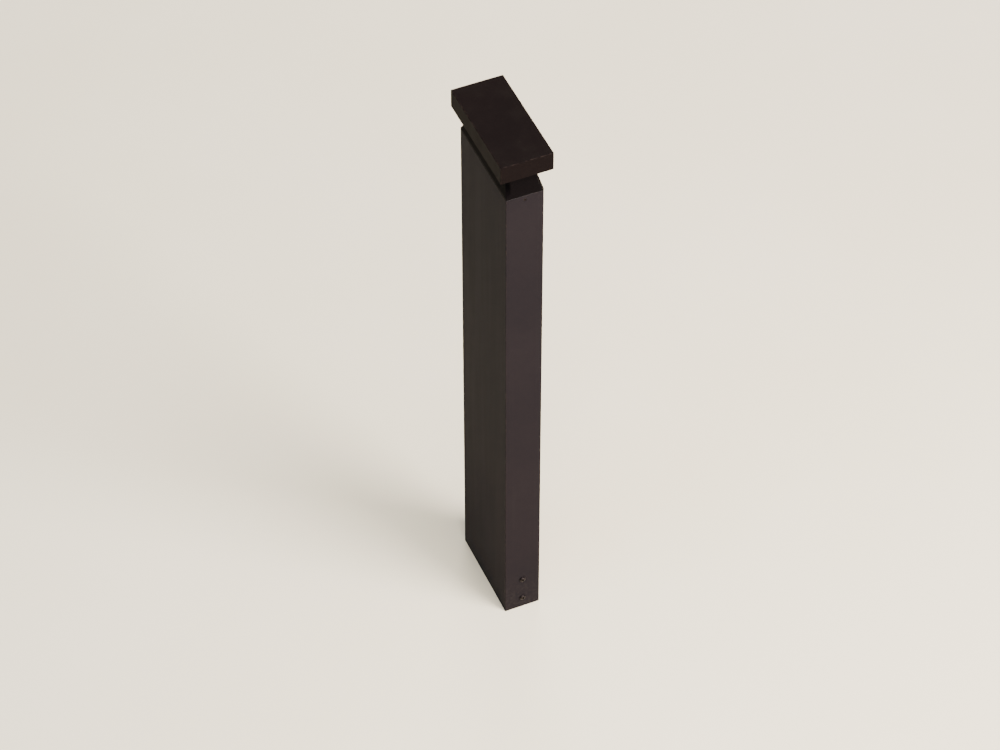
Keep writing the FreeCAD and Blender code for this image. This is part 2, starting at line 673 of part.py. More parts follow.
def optic():
    """One lens strip on the +X side: a flange on pegs under the board with a dome under each LED."""
    top = BOARD_BOTTOM - LED_THICK - 0.2
    bottom = top - OPTIC_FLANGE
    half_x = SLOT_OUT - LED_X - 0.3
    flange = box(LED_X - half_x, LED_X + half_x, -BOARD_HALF_Y, BOARD_HALF_Y, bottom, top)
    radius = min(half_x - 0.2, LED_PITCH / 2 - M3_PAN[1] / 2 - HOLE_GAP)
    pieces = [flange]
    for y in led_rows():
        dome = turned([(0, -OPTIC_DOME), (radius, 0), (0, 0)], {0: (radius * 0.76, -OPTIC_DOME * 0.62)})
        pieces.append(place(dome, Vector(LED_X, y, bottom), Vector(0, 0, 1)))
    for y in board_screw_rows():
        pieces.append(upright_rod(2.6, LED_X, y, top - 0.5, BOARD_BOTTOM))
    strip = join(pieces)
    radius = M3_PAN[0] / 2 + HOLE_GAP
    holes = [upright_rod(radius, LED_X, y, bottom - 1, BOARD_BOTTOM + 1) for y in board_screw_rows()]
    return cut_all(strip, holes)


def board_screws():
    """Screws through each optic and board into the heat spreader's legs."""
    seat = BOARD_BOTTOM - LED_THICK - 0.2 - OPTIC_FLANGE
    screw = headed_screw(M3_PAN, BOARD_TOP - seat + 4.6)
    return [
        place(screw, Vector(side * LED_X, y, seat), Vector(0, 0, -1))
        for _, side in SIDES
        for y in board_screw_rows()
    ]


def vent_plug():
    """A screw-in breather under the cover, facing into the neck."""
    thread = upright_rod(VENT_THREAD / 2, 0, 0, 0, COVER_THICK + 3)
    cap = turned([(0, -5), (6.6, -5), (8, -3.6), (8, 0), (0, 0)])
    plug = join([thread, cap])
    slots = [box(-9, 9, -0.8, 0.8, -3.4, -1.6), box(-0.8, 0.8, -9, 9, -3.4, -1.6)]
    return place(cut_all(plug, slots), Vector(0, VENT_Y, COVER_BOTTOM), Vector(0, 0, 1))


def gland_body():
    """The cable gland's body: a hexagon under the cover and a thread up through it."""
    bore = LEAD_DIAMETER / 2 + HOLE_GAP
    hexed = hexagon(GLAND_HEX, COVER_BOTTOM - 5, COVER_BOTTOM)
    upper = upright_rod(GLAND_THREAD / 2, 0, 0, COVER_BOTTOM - 1, COVER_TOP + 6)
    lower = upright_rod(GLAND_THREAD / 2, 0, 0, COVER_BOTTOM - 11, COVER_BOTTOM - 4)
    body = join([hexed, upper, lower])
    return body.cut(upright_rod(bore, 0, 0, COVER_BOTTOM - 12, COVER_TOP + 7))


def gland_dome_nut():
    """The domed nut that squeezes the gland's seal on the cable."""
    top = COVER_BOTTOM - 5
    bottom = top - 14
    radius = GLAND_HEX / 2 - 0.4
    nut = turned(
        [(0, bottom), (5.4, bottom), (radius, bottom + 5), (radius, top), (0, top)],
        {1: (radius * 0.86, bottom + 1.8)},
    )
    nut = nut.cut(upright_rod(GLAND_THREAD / 2 + THREAD_GAP, 0, 0, COVER_BOTTOM - 11, top + 1))
    return nut.cut(upright_rod(LEAD_DIAMETER / 2 + HOLE_GAP, 0, 0, bottom - 1, top))


def gland_lock_nut():
    """The thin hexagon nut that holds the gland from inside the head."""
    nut = hexagon(GLAND_HEX + 2, COVER_TOP, COVER_TOP + 4)
    return nut.cut(upright_rod(GLAND_THREAD / 2 + THREAD_GAP, 0, 0, COVER_TOP - 1, COVER_TOP + 5))


def led_lead():
    """The sheathed cable from the driver up through the gland into the head."""
    start = DRIVER_TOP
    end = COVER_TOP + 7.0
    middle = (start + HEAD_BOTTOM) / 2
    points = [
        (LEAD_X, 0, start),
        (LEAD_X, 0, start + 26),
        (0, 0, middle + 12),
        (0, 0, end),
    ]
    return cable(points, LEAD_DIAMETER)


def lead_boot():
    """A moulded boot where the lead's cores part inside the head."""
    z = COVER_TOP + 7.0
    return turned([(0, z), (LEAD_DIAMETER / 2 + 0.6, z), (LEAD_DIAMETER / 2, z + 3.6), (0, z + 3.6)])


def board_wires(row):
    """One core to each board, from the boot to a solder pad beside the LEDs."""
    start_z = COVER_TOP + 8.6
    pad_x = SLOT_IN + PAD_LAND / 2
    wires = []
    for _, side in SIDES:
        points = [
            (side * (LEAD_DIAMETER / 2 + 0.5), row, start_z),
            (side * (LEAD_DIAMETER / 2 + 7.0), row, start_z),
            (side * (pad_x - 6.0), row, start_z - 3.0),
            (side * pad_x, row, start_z - 2.0),
            (side * pad_x, row, BOARD_BOTTOM),
        ]
        wires.append(cable(points, BOARD_WIRE_DIAMETER))
    return wires


# ---------------------------------------------------------------- gear tray
def driver_screw_places():
    """The driver's ears' screws, just past its two ends."""
    return [(0.0, DRIVER_TOP + EAR_LONG / 2), (0.0, DRIVER_BOTTOM - EAR_LONG / 2)]


def surge_screw_places():
    """The surge protector's ears' screws."""
    return [(SURGE_Y, SURGE_TOP + EAR_LONG / 2), (SURGE_Y, SURGE_BOTTOM - EAR_LONG / 2)]


def gear_tray():
    """A folded steel tray with a flange down each side, hung from the neck's lugs."""
    face = -TRAY_OFFSET
    web = box(face - TRAY_SHEET, face, -TRAY_WIDE / 2, TRAY_WIDE / 2, TRAY_BOTTOM, TRAY_TOP)
    flanges = [
        box(face - TRAY_SHEET, face + TRAY_FLANGE, y, y - end * TRAY_SHEET, TRAY_BOTTOM, TRAY_TOP)
        for end in ENDS
        for y in (end * TRAY_WIDE / 2,)
    ]
    tray = join([web] + flanges)
    spots = [(y, TRAY_SCREW_Z) for y in (-LUG_Y, LUG_Y)]
    tools = [
        rod(M4_PAN[0] / 2 + HOLE_GAP, Vector(face - 5, y, z), Vector(face + 5, y, z)) for y, z in spots
    ]
    small = driver_screw_places() + surge_screw_places() + [(GROUND_SCREW_Y, TRAY_BOTTOM + 9.0)]
    radius = M3_PAN[0] / 2 + THREAD_GAP
    tools += [rod(radius, Vector(face - 5, y, z), Vector(face + 5, y, z)) for y, z in small]
    return cut_all(tray, tools)


def tray_screws():
    """Two screws that hang the tray from the neck."""
    screw = headed_screw(M4_PAN, TRAY_SHEET + 9.0)
    return [place(screw, Vector(-TRAY_OFFSET, y, TRAY_SCREW_Z), Vector(1, 0, 0)) for y in (-LUG_Y, LUG_Y)]


def cased_unit(y, bottom, top, wide, deep, spots):
    """A potted electrical unit on the tray: a round-edged case with a thin ear past each end."""
    face = -TRAY_OFFSET
    case = box(face, face + deep, y - wide / 2, y + wide / 2, bottom, top)
    case = case.makeFillet(2.0, [e for e in case.Edges if e.BoundBox.XMin > face + 0.1])
    half = EAR_WIDE / 2
    ears = box(face, face + EAR_THICK, y - half, y + half, bottom - EAR_LONG, top + EAR_LONG)
    unit = join([case, ears])
    radius = M3_PAN[0] / 2 + HOLE_GAP
    holes = [rod(radius, Vector(face - 1, sy, sz), Vector(face + 4, sy, sz)) for sy, sz in spots]
    return cut_all(unit, holes)


def led_driver():
    """The constant-current driver's case."""
    return cased_unit(0.0, DRIVER_BOTTOM, DRIVER_TOP, DRIVER_WIDE, DRIVER_DEEP, driver_screw_places())


def surge_protector():
    """The surge protector's case."""
    return cased_unit(SURGE_Y, SURGE_BOTTOM, SURGE_TOP, SURGE_WIDE, SURGE_DEEP, surge_screw_places())


def gear_screws():
    """Screws that hold the driver and the surge protector to the tray."""
    screw = headed_screw(M3_PAN, EAR_THICK + TRAY_SHEET + 1.5)
    face = -TRAY_OFFSET + EAR_THICK
    spots = driver_screw_places() + surge_screw_places()
    return [place(screw, Vector(face, y, z), Vector(1, 0, 0)) for y, z in spots]


def connector_rows():
    """The three splice connectors' places along Y."""
    return [CONNECTOR_Y + i * CONNECTOR_PITCH for i in range(3)]


def splice_connectors():
    """Three push-in splice connectors stuck to the tray, with a wire entry hole top and bottom."""
    wide, tall, deep = CONNECTOR_SIZE
    face = -TRAY_OFFSET
    made = []
    for y in connector_rows():
        body = box(face, face + deep, y - wide / 2, y + wide / 2, CONNECTOR_BOTTOM, CONNECTOR_BOTTOM + tall)
        body = body.makeFillet(1.2, [e for e in body.Edges if e.BoundBox.XMin > face + 0.1])
        x = face + deep / 2
        radius = WIRE_DIAMETER / 2 + HOLE_GAP
        top = CONNECTOR_BOTTOM + tall
        tools = []
        for dy in (-3.0, 3.0):
            tools.append(upright_rod(radius, x, y + dy, top - 6, top + 1))
            tools.append(upright_rod(radius, x, y + dy, CONNECTOR_BOTTOM - 1, CONNECTOR_BOTTOM + 6))
        made.append(cut_all(body, tools))
    return made


def supply_wires(which):
    """One of the driver's three input wires, from its lower end down into a splice connector."""
    x = -TRAY_OFFSET + CONNECTOR_SIZE[2] / 2
    y0 = 14.0 + 5.0 * which
    y1 = connector_rows()[which] + 3.0
    top = CONNECTOR_BOTTOM + CONNECTOR_SIZE[1]
    span = DRIVER_BOTTOM - top
    points = [
        (x + 8.0, y0, DRIVER_BOTTOM),
        (x + 8.0, y0, DRIVER_BOTTOM - span * 0.28),
        (x + 1.0, y1, top + span * 0.30),
        (x, y1, top - 5.0),
    ]
    return cable(points, WIRE_DIAMETER)


def surge_wires(which):
    """One of the surge protector's wires, in a flat loop from its upper end into a splice connector."""
    x = -TRAY_OFFSET + CONNECTOR_SIZE[2] / 2
    y0 = SURGE_Y + 15.0 - 4.5 * which
    y1 = connector_rows()[which] - 3.0
    loop_z = SURGE_TOP + 14.0 + 7.0 * which
    points = [
        (x, y0, SURGE_TOP),
        (x, y0, loop_z),
        (x, y1, loop_z),
        (x, y1, CONNECTOR_BOTTOM + CONNECTOR_SIZE[1] - 5.0),
    ]
    return cable(points, WIRE_DIAMETER)


def tray_ground_screw():
    """The screw that bonds the tray to earth."""
    at = Vector(-TRAY_OFFSET + 1.0, GROUND_SCREW_Y, TRAY_BOTTOM + 9.0)
    return place(headed_screw(M3_PAN, 1.0 + TRAY_SHEET + 1.5), at, Vector(1, 0, 0))


def ring_terminal():
    """The crimped ring under the tray's ground screw, its barrel towards the splice connectors."""
    z = TRAY_BOTTOM + 9.0
    face = -TRAY_OFFSET
    start = Vector(face, GROUND_SCREW_Y, z)
    eye = rod(4.0, start, start.add(Vector(1, 0, 0)))
    tongue = box(face, face + 1.0, GROUND_SCREW_Y - 9, GROUND_SCREW_Y, z - 2.0, z + 2.0)
    barrel = rod(1.9, Vector(face + 1.9, GROUND_SCREW_Y - 13, z), Vector(face + 1.9, GROUND_SCREW_Y - 7, z))
    terminal = join([eye, tongue, barrel])
    radius = M3_PAN[0] / 2 + HOLE_GAP
    hole = rod(radius, Vector(face - 1, GROUND_SCREW_Y, z), Vector(face + 3, GROUND_SCREW_Y, z))
    return terminal.cut(hole)


# ---------------------------------------------------------------- writing the nodes
def nodes():
    """Every node's name with its solid or solids."""
    window_pair = both_sides(window())
    seal_pair = both_sides(window_gasket())
    board_pair = both_sides(led_board())
    optic_pair = both_sides(optic())
    chip_pair = both_sides(Part.makeCompound(led_chips()))
    made = {
        "anchor_base": anchor_base(),
        "ground_screw": ground_screw(),
        "ground_washer": ground_washer(),
        "post_tube": post_tube(),
        "base_lock_screws": base_lock_screws(),
        "front_clamp_bar": clamp_bar(-1),
        "rear_clamp_bar": clamp_bar(1),
        "neck_set_screws": neck_set_screws(),
        "post_top_gasket": post_top_gasket(),
        "neck_casting": neck_casting(),
        "neck_gasket": neck_gasket(),
        "neck_screws": neck_screws(),
        "head_housing": head_housing(),
        "bottom_cover": bottom_cover(),
        "cover_gasket": cover_gasket(),
        "cover_screws": cover_screws(),
        "heat_spreader": heat_spreader(),
        "spreader_screws": spreader_screws(),
        "board_screws": board_screws(),
        "vent_plug": vent_plug(),
        "gland_body": gland_body(),
        "gland_dome_nut": gland_dome_nut(),
        "gland_lock_nut": gland_lock_nut(),
        "led_lead": led_lead(),
        "lead_boot": lead_boot(),
        "board_wires_positive": board_wires(1.5),
        "board_wires_negative": board_wires(-1.5),
        "gear_tray": gear_tray(),
        "tray_screws": tray_screws(),
        "led_driver": led_driver(),
        "surge_protector": surge_protector(),
        "gear_screws": gear_screws(),
        "splice_connectors": splice_connectors(),
        "live_wires": [supply_wires(0), surge_wires(0)],
        "neutral_wires": [supply_wires(1), surge_wires(1)],
        "earth_wires": [supply_wires(2), surge_wires(2)],
        "tray_ground_screw": tray_ground_screw(),
        "ring_terminal": ring_terminal(),
    }
    for side, _ in SIDES:
        made[f"window_{side}"] = window_pair[side]
        made[f"window_gasket_{side}"] = seal_pair[side]
        made[f"led_board_{side}"] = board_pair[side]
        made[f"led_chips_{side}"] = chip_pair[side]
        made[f"optic_{side}"] = optic_pair[side]
    return made


def main():
    os.makedirs(PARTS, exist_ok=True)
    for name, shape in nodes().items():
        solids = shape if isinstance(shape, list) else shape.Solids
        solids = [s for piece in solids for s in piece.Solids]
        whole = solids[0] if len(solids) == 1 else Part.makeCompound(solids)
        bad = [s for s in solids if not s.isValid() or s.Volume <= 0]
        if bad or not solids:
            raise ValueError(f"{name} has a solid that is not valid")
        whole.exportStep(os.path.join(PARTS, name + ".step"))
        print(f"{name}: {len(solids)} solid(s), {whole.Volume / 1000:.2f} cm3")


main()
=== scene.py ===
# %% [markdown]
# # A rectangular bollard light
#
# The light is a tall aluminium post with a slab head that floats on a tapered neck. Daylight shows plain
# powder-coated boxes, so the finish carries the look: its grain, its soft edges, a little dust and the
# marks of weather. The windows under the head, and the gear tray that hangs inside the post, only show
# from below or when the head is lifted out, and they get the same care.
#
# The lesson starts from a finished CAD model. Its parts keep their places, and this file gives them their
# surfaces, replaces a few with finer ones, and sets up a small studio.

# %% Load the CAD model and keep its size
import math

import bmesh
import bpy
import numpy as np
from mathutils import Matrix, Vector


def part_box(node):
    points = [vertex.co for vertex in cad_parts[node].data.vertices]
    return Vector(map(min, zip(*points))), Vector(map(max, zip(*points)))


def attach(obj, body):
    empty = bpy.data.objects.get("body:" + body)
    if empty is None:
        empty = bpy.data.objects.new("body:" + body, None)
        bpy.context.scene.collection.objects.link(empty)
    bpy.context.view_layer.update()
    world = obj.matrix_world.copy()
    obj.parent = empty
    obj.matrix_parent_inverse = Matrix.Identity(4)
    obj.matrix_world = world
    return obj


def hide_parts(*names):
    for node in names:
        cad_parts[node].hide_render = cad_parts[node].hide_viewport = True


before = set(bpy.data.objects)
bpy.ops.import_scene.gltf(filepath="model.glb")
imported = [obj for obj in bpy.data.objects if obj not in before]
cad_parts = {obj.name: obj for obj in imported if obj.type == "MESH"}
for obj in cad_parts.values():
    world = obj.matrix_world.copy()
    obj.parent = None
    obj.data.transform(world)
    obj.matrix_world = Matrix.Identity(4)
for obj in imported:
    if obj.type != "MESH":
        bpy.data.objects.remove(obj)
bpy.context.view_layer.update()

# %% [markdown]
# ## The camera
#
# A long lens seen from far away keeps upright edges nearly parallel, and the camera looks down at about
# 46 degrees. A camera could be posed by typing rotations, but it is easier to say where it looks and from
# which side: azimuth 0 looks along +Y, and elevation is the height above the horizon. The rotation then
# follows from the direction alone.

# %% Camera
VIEW_AZIMUTH = math.radians(-23.47)
VIEW_ELEVATION = math.radians(46.48)
VIEW_DISTANCE = 5.6224
AIM = np.array([-0.0734, -0.1619, 0.6850])
LENS_MM = 127.58
FILM_WIDTH_MM = 36.0
FARTHEST_SEEN = 60.0


def add_camera():
    """A camera at aim + distance * (sin az cos el, -cos az cos el, sin el), turned to look back at aim."""
    side = math.cos(VIEW_ELEVATION)
    back = np.array([
        math.sin(VIEW_AZIMUTH) * side,
        -math.cos(VIEW_AZIMUTH) * side,
        math.sin(VIEW_ELEVATION),
    ])
    data = bpy.data.cameras.new("studio_camera")
    data.lens = LENS_MM
    data.sensor_width = FILM_WIDTH_MM
    data.clip_end = FARTHEST_SEEN
    camera = bpy.data.objects.new("studio_camera", data)
    bpy.context.scene.collection.objects.link(camera)
    camera.location = AIM + VIEW_DISTANCE * back
    camera.rotation_euler = (math.pi / 2 - VIEW_ELEVATION, 0.0, VIEW_AZIMUTH)
    bpy.context.scene.camera = camera
    return camera


camera = add_camera()
print("camera at", [round(v, 3) for v in camera.location])

# %% [markdown]
# ## Node helpers
#
# Every finish below is a small node network. Wiring each one by hand would hide the idea under the
# plumbing, so a few helpers add one node each and hand back its output. Sizes are given in metres: a noise
# whose features are 1 mm wide has a scale of 1000, because the pattern is read from Object coordinates,
# which are metres here.

# %% Node helpers: start, patterns
def start_finish(name):
    """A new material: its node tree, its shader, and the Object coordinates that patterns read."""
    material = bpy.data.materials.new(name)
    material.use_nodes = True
    tree = material.node_tree
    tree.nodes.clear()
    output = tree.nodes.new("ShaderNodeOutputMaterial")
    shader = tree.nodes.new("ShaderNodeBsdfPrincipled")
    tree.links.new(shader.outputs["BSDF"], output.inputs["Surface"])
    place = tree.nodes.new("ShaderNodeTexCoord").outputs["Object"]
    return material, tree, shader, place


def stretched(tree, place, stretch):
    """Coordinates multiplied by a stretch per axis: a number under 1 makes a pattern longer that way."""
    node = tree.nodes.new("ShaderNodeMapping")
    node.inputs["Scale"].default_value = stretch
    tree.links.new(place, node.inputs["Vector"])
    return node.outputs["Vector"]


def noise(tree, place, size, detail=3.0, roughness=0.55, stretch=None):
    """Cloudy noise whose features are about size metres wide."""
    node = tree.nodes.new("ShaderNodeTexNoise")
    node.inputs["Scale"].default_value = 1.0 / size
    node.inputs["Detail"].default_value = detail
    node.inputs["Roughness"].default_value = roughness
    tree.links.new(stretched(tree, place, stretch) if stretch else place, node.inputs["Vector"])
    return node.outputs["Fac"]


def cells(tree, place, size, stretch=None):
    """The distance to the middle of cells about size metres wide, as in grain or spangle."""
    node = tree.nodes.new("ShaderNodeTexVoronoi")
    node.inputs["Scale"].default_value = 1.0 / size
    tree.links.new(stretched(tree, place, stretch) if stretch else place, node.inputs["Vector"])
    return node.outputs["Distance"]


def axis_parts(tree, place):
    """The X, Y and Z of a coordinate."""
    node = tree.nodes.new("ShaderNodeSeparateXYZ")
    tree.links.new(place, node.inputs["Vector"])
    return node.outputs["X"], node.outputs["Y"], node.outputs["Z"]


# %% Node helpers: sums, ranges, mixes and bump
# Noise gathers near 0.5. Taking this part of its range as 0 to 1 makes clear light and dark clouds of it.
CLOUDY = (0.35, 0.65)


def feed(tree, socket, value):
    """Puts a number or colour on a socket, or links another socket to it."""
    if isinstance(value, bpy.types.NodeSocket):
        tree.links.new(value, socket)
    elif isinstance(value, tuple) and len(value) == 3:
        socket.default_value = (*value, 1.0)
    else:
        socket.default_value = value


def sum_of(tree, operation, a, b=0.0):
    """One Math node."""
    node = tree.nodes.new("ShaderNodeMath")
    node.operation = operation
    feed(tree, node.inputs[0], a)
    feed(tree, node.inputs[1], b)
    return node.outputs["Value"]


def remap(tree, value, low, high, to_low=0.0, to_high=1.0):
    """A smooth step of value from low..high to to_low..to_high, held flat outside."""
    node = tree.nodes.new("ShaderNodeMapRange")
    node.interpolation_type = "SMOOTHSTEP"
    for name, number in (("From Min", low), ("From Max", high), ("To Min", to_low), ("To Max", to_high)):
        node.inputs[name].default_value = number
    tree.links.new(value, node.inputs["Value"])
    return node.outputs["Result"]


def blend_colour(tree, factor, a, b):
    """Colour a where factor is 0 and b where it is 1."""
    node = tree.nodes.new("ShaderNodeMix")
    node.data_type = "RGBA"
    feed(tree, node.inputs["Factor"], factor)
    feed(tree, node.inputs["A"], a)
    feed(tree, node.inputs["B"], b)
    return node.outputs["Result"]


def bump(tree, height, depth, below=None):
    """A normal tilted as if the surface rose by depth metres where height is 1."""
    node = tree.nodes.new("ShaderNodeBump")
    node.inputs["Strength"].default_value = 1.0
    node.inputs["Distance"].default_value = depth
    tree.links.new(height, node.inputs["Height"])
    if below is not None:
        tree.links.new(below, node.inputs["Normal"])
    return node.outputs["Normal"]


# %% [markdown]
# ## Where the edges are
#
# Paint wears on edges first. A bevel trick could find them while rendering, but these parts are boxes, so
# their edges have a simple formula. On an upright face one of the two gaps to the box's sides is zero, so
# the sum of both is the distance to the nearest upright edge. At the top rim the same sum works with the
# gap to the top. The smaller of the two sums is the distance to the nearest edge of any kind.

# %% Edge distance
def edge_distance(tree, place, half_x, half_y, top):
    """min((hx - |x|) + (hy - |y|), (top - z) + min(hx - |x|, hy - |y|)), in metres."""
    x, y, z = axis_parts(tree, place)
    gap_x = sum_of(tree, "SUBTRACT", half_x, sum_of(tree, "ABSOLUTE", x))
    gap_y = sum_of(tree, "SUBTRACT", half_y, sum_of(tree, "ABSOLUTE", y))
    upright = sum_of(tree, "ADD", gap_x, gap_y)
    rim = sum_of(tree, "ADD", sum_of(tree, "SUBTRACT", top, z), sum_of(tree, "MINIMUM", gap_x, gap_y))
    return sum_of(tree, "MINIMUM", upright, rim)


# %% [markdown]
# ## Dark bronze powder coat
#
# Powder coat is plastic dust baked onto metal. It melts into a skin with a faint orange peel, and bronze
# powders carry flakes that make it sparkle a little. Its colour is never quite even: it drifts over a
# hand's width, and rain leaves faint streaks down the faces. Dust settles on what faces up, and the splash
# of rain dulls the foot. Each of these is one pattern at its own size, and each moves colour, roughness or
# height by a small amount.

# %% Powder coat
BRONZE_WARM = (0.0122, 0.0096, 0.0112)
BRONZE_COOL = (0.0106, 0.0086, 0.0103)
BRONZE_FLAKE = (0.0560, 0.0400, 0.0330)
DUST = (0.1200, 0.1030, 0.0860)
# Widths of the coat's patterns in metres, from a hand's width down to its grain.
DRIFT_WIDE, FILM_WIDE, STREAK_WIDE, CHIP_WIDE = 0.22, 0.035, 0.022, 0.006
SPOT_WIDE, PEEL_WIDE, SPECK_WIDE, FLAKE_WIDE, GRAIN_WIDE = 0.004, 0.0032, 0.0012, 0.0011, 0.0007
SPLASH_HIGH = 0.11
WORN_FROM, WORN_TO = 0.0002, 0.0017
# How strongly each pattern shows, from 0 to 1.
FLAKE_SHARE, STREAK_SHARE, FILM_SHARE, SPECK_SHARE, WEAR_SHARE = 0.30, 0.014, 0.014, 0.10, 0.30
COAT_ROUGH = (0.51, 0.54)
COAT_GLOSS = 0.010


def shaded(colour, shade):
    """A colour multiplied by a shade for each of red, green and blue."""
    return tuple(part * amount for part, amount in zip(colour, shade))


def powder_coat(name, half_x, half_y, top, shade=(1.0, 1.0, 1.0), peel=0.00003, splash=0.0):
    """Bronze skin on a box of the given half sizes: drift, flakes, streaks, dust, worn edges, orange peel."""
    material, tree, shader, place = start_finish(name)
    drift = remap(tree, noise(tree, place, DRIFT_WIDE), *CLOUDY)
    # Painted shade: shade darkens the whole bronze, flakes too, on parts that should look darker than the
    # lamps make them.
    colour = blend_colour(tree, drift, shaded(BRONZE_WARM, shade), shaded(BRONZE_COOL, shade))
    flakes = remap(tree, cells(tree, place, FLAKE_WIDE), 0.10, 0.22, FLAKE_SHARE * min(shade), 0.0)
    colour = blend_colour(tree, flakes, colour, BRONZE_FLAKE)
    streak = noise(tree, place, STREAK_WIDE, stretch=(1.0, 1.0, 0.06))
    colour = blend_colour(tree, remap(tree, streak, 0.56, 0.80, 0.0, STREAK_SHARE), colour, DUST)
    facing = tree.nodes.new("ShaderNodeNewGeometry").outputs["Normal"]
    up = remap(tree, axis_parts(tree, facing)[2], 0.70, 0.98)
    film = remap(tree, noise(tree, place, FILM_WIDE, detail=5.0), 0.36, 0.76, 0.0, FILM_SHARE)
    specks = remap(tree, noise(tree, place, SPECK_WIDE, detail=1.0), 0.68, 0.78, 0.0, SPECK_SHARE)
    settled = sum_of(tree, "MULTIPLY", up, sum_of(tree, "ADD", film, specks))
    colour = blend_colour(tree, settled, colour, DUST)
    if splash:
        low = remap(tree, axis_parts(tree, place)[2], 0.0, SPLASH_HIGH, splash, 0.0)
        spots = remap(tree, noise(tree, place, SPOT_WIDE, detail=6.0), 0.36, 0.74)
        colour = blend_colour(tree, sum_of(tree, "MULTIPLY", low, spots), colour, DUST)
    chipped = remap(tree, noise(tree, place, CHIP_WIDE, detail=5.0), 0.44, 0.68)
    to_edge = edge_distance(tree, place, half_x, half_y, top)
    near = remap(tree, to_edge, WORN_FROM, WORN_TO, WEAR_SHARE, 0.0)
    worn = sum_of(tree, "MULTIPLY", near, chipped)
    colour = blend_colour(tree, worn, colour, BRONZE_FLAKE)
    tree.links.new(colour, shader.inputs["Base Color"])
    dullness = sum_of(tree, "ADD", remap(tree, streak, *CLOUDY, *COAT_ROUGH), settled)
    tree.links.new(dullness, shader.inputs["Roughness"])
    ripple = bump(tree, noise(tree, place, PEEL_WIDE, detail=2.0), peel)
    grain = bump(tree, noise(tree, place, GRAIN_WIDE, detail=2.0), peel * 0.45, ripple)
    tree.links.new(grain, shader.inputs["Normal"])
    shader.inputs["Specular IOR Level"].default_value = COAT_GLOSS
    return material


def half_sizes(node):
    """Half the X size, half the Y size and the top of a CAD node, in metres."""
    low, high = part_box(node)
    return (high.x - low.x) / 2, (high.y - low.y) / 2, high.z


post_coat = powder_coat("post_coat", *half_sizes("post_tube"), splash=0.07)
# Painted shade: the head wears the post's bronze, darkened and reddened by its shade so that its top looks
# dark though the lamps light it.
head_coat_painted_shade = powder_coat("head_coat_painted_shade", *half_sizes("head_housing"), shade=(0.45, 0.36, 0.31))
# Painted shade: the neck and the bottom cover sit in shade under the head, so their bronze is darkened to
# about a quarter. The coarser orange peel is the castings' own.
casting_peel_and_painted_shade = {"shade": (0.24, 0.22, 0.21), "peel": 0.00007}
cast_coat_painted_shade = powder_coat("cast_coat_painted_shade", *half_sizes("neck_casting"), **casting_peel_and_painted_shade)
cover_coat_painted_shade = powder_coat("cover_coat_painted_shade", *half_sizes("bottom_cover"), **casting_peel_and_painted_shade)
print("coats made for", half_sizes("post_tube"), half_sizes("head_housing"))

# %% [markdown]
# ## Bare metals
#
# Six metals stay uncoated. The cast base has the sandy skin of its mould. Sheet for the tray is dipped in
# zinc, which freezes in pale crystals called spangle. Extruded aluminium shows fine lines along its length.
# Screws are stainless, dulled by handling, and the ones in the post's sides are black steel. The terminal
# and the solder are tinned. A metal is almost all reflection, so what tells them apart is how the roughness
# and height vary.

# %% Metals
def bare_metal(name, light, dark, rough, pattern_size, depth, stretch=None, spangle=False):
    """A metal whose colour, roughness and height follow one pattern, with stains nine times as wide."""
    material, tree, shader, place = start_finish(name)
    make = cells if spangle else noise
    pattern = make(tree, place, pattern_size, stretch=stretch)
    low, high = (0.05, 0.65) if spangle else CLOUDY
    tone = remap(tree, pattern, low, high)
    stain = remap(tree, noise(tree, place, pattern_size * 9, detail=4.0), 0.50, 0.72, 0.0, 0.5)
    colour = blend_colour(tree, tone, light, dark)
    tree.links.new(blend_colour(tree, stain, colour, dark), shader.inputs["Base Color"])
    tree.links.new(remap(tree, pattern, low, high, rough * 0.8, rough * 1.25), shader.inputs["Roughness"])
    tree.links.new(bump(tree, pattern, depth), shader.inputs["Normal"])
    shader.inputs["Metallic"].default_value = 1.0
    return material


base_alloy = bare_metal("base_alloy", (0.33, 0.33, 0.34), (0.21, 0.21, 0.215), 0.50, 0.0012, 0.00010)
zinc_sheet = bare_metal(
    "zinc_sheet", (0.62, 0.65, 0.69), (0.34, 0.37, 0.41), 0.36, 0.0085, 0.00001, spangle=True)
mill_alloy = bare_metal(
    "mill_alloy", (0.78, 0.78, 0.79), (0.60, 0.60, 0.62), 0.30, 0.0006, 0.00001, stretch=(1.0, 0.01, 1.0))
stainless = bare_metal("stainless", (0.44, 0.43, 0.41), (0.28, 0.27, 0.26), 0.32, 0.0009, 0.00002)
black_steel = bare_metal("black_steel", (0.026, 0.021, 0.021), (0.013, 0.010, 0.010), 0.42, 0.0008, 0.00002)
tinned = bare_metal("tinned", (0.74, 0.72, 0.68), (0.56, 0.53, 0.48), 0.28, 0.0010, 0.00001)

# %% [markdown]
# ## Moulded and rubbery finishes
#
# Seals, glands, cases and wires are plastics and rubbers. What sets a moulding apart from a flat colour is
# the fine texture of its tool, a slight change of shade where it flowed, and scuffs that catch the light.
# One builder makes them all, and each takes its own colour, gloss and texture size.

# %% Plastics and rubbers
def moulding(name, colour, rough, texture_size=0.0006, depth=0.00002, scuff=0.25):
    """A moulding: shade drifts by a fifth, roughness follows smears, and the tool's texture is a bump."""
    material, tree, shader, place = start_finish(name)
    darker = tuple(c * 0.80 for c in colour)
    paler = tuple(min(1.0, c * 1.10 + 0.012) for c in colour)
    flow = remap(tree, noise(tree, place, 0.012, detail=4.0), *CLOUDY)
    tone = blend_colour(tree, flow, darker, colour)
    smear = noise(tree, place, 0.004, detail=5.0, stretch=(1.0, 1.0, 0.4))
    tone = blend_colour(tree, remap(tree, smear, 0.56, 0.72, 0.0, scuff), tone, paler)
    tree.links.new(tone, shader.inputs["Base Color"])
    tree.links.new(remap(tree, smear, 0.35, 0.70, rough * 0.85, rough * 1.20), shader.inputs["Roughness"])
    tree.links.new(bump(tree, noise(tree, place, texture_size, detail=2.0), depth), shader.inputs["Normal"])
    return material


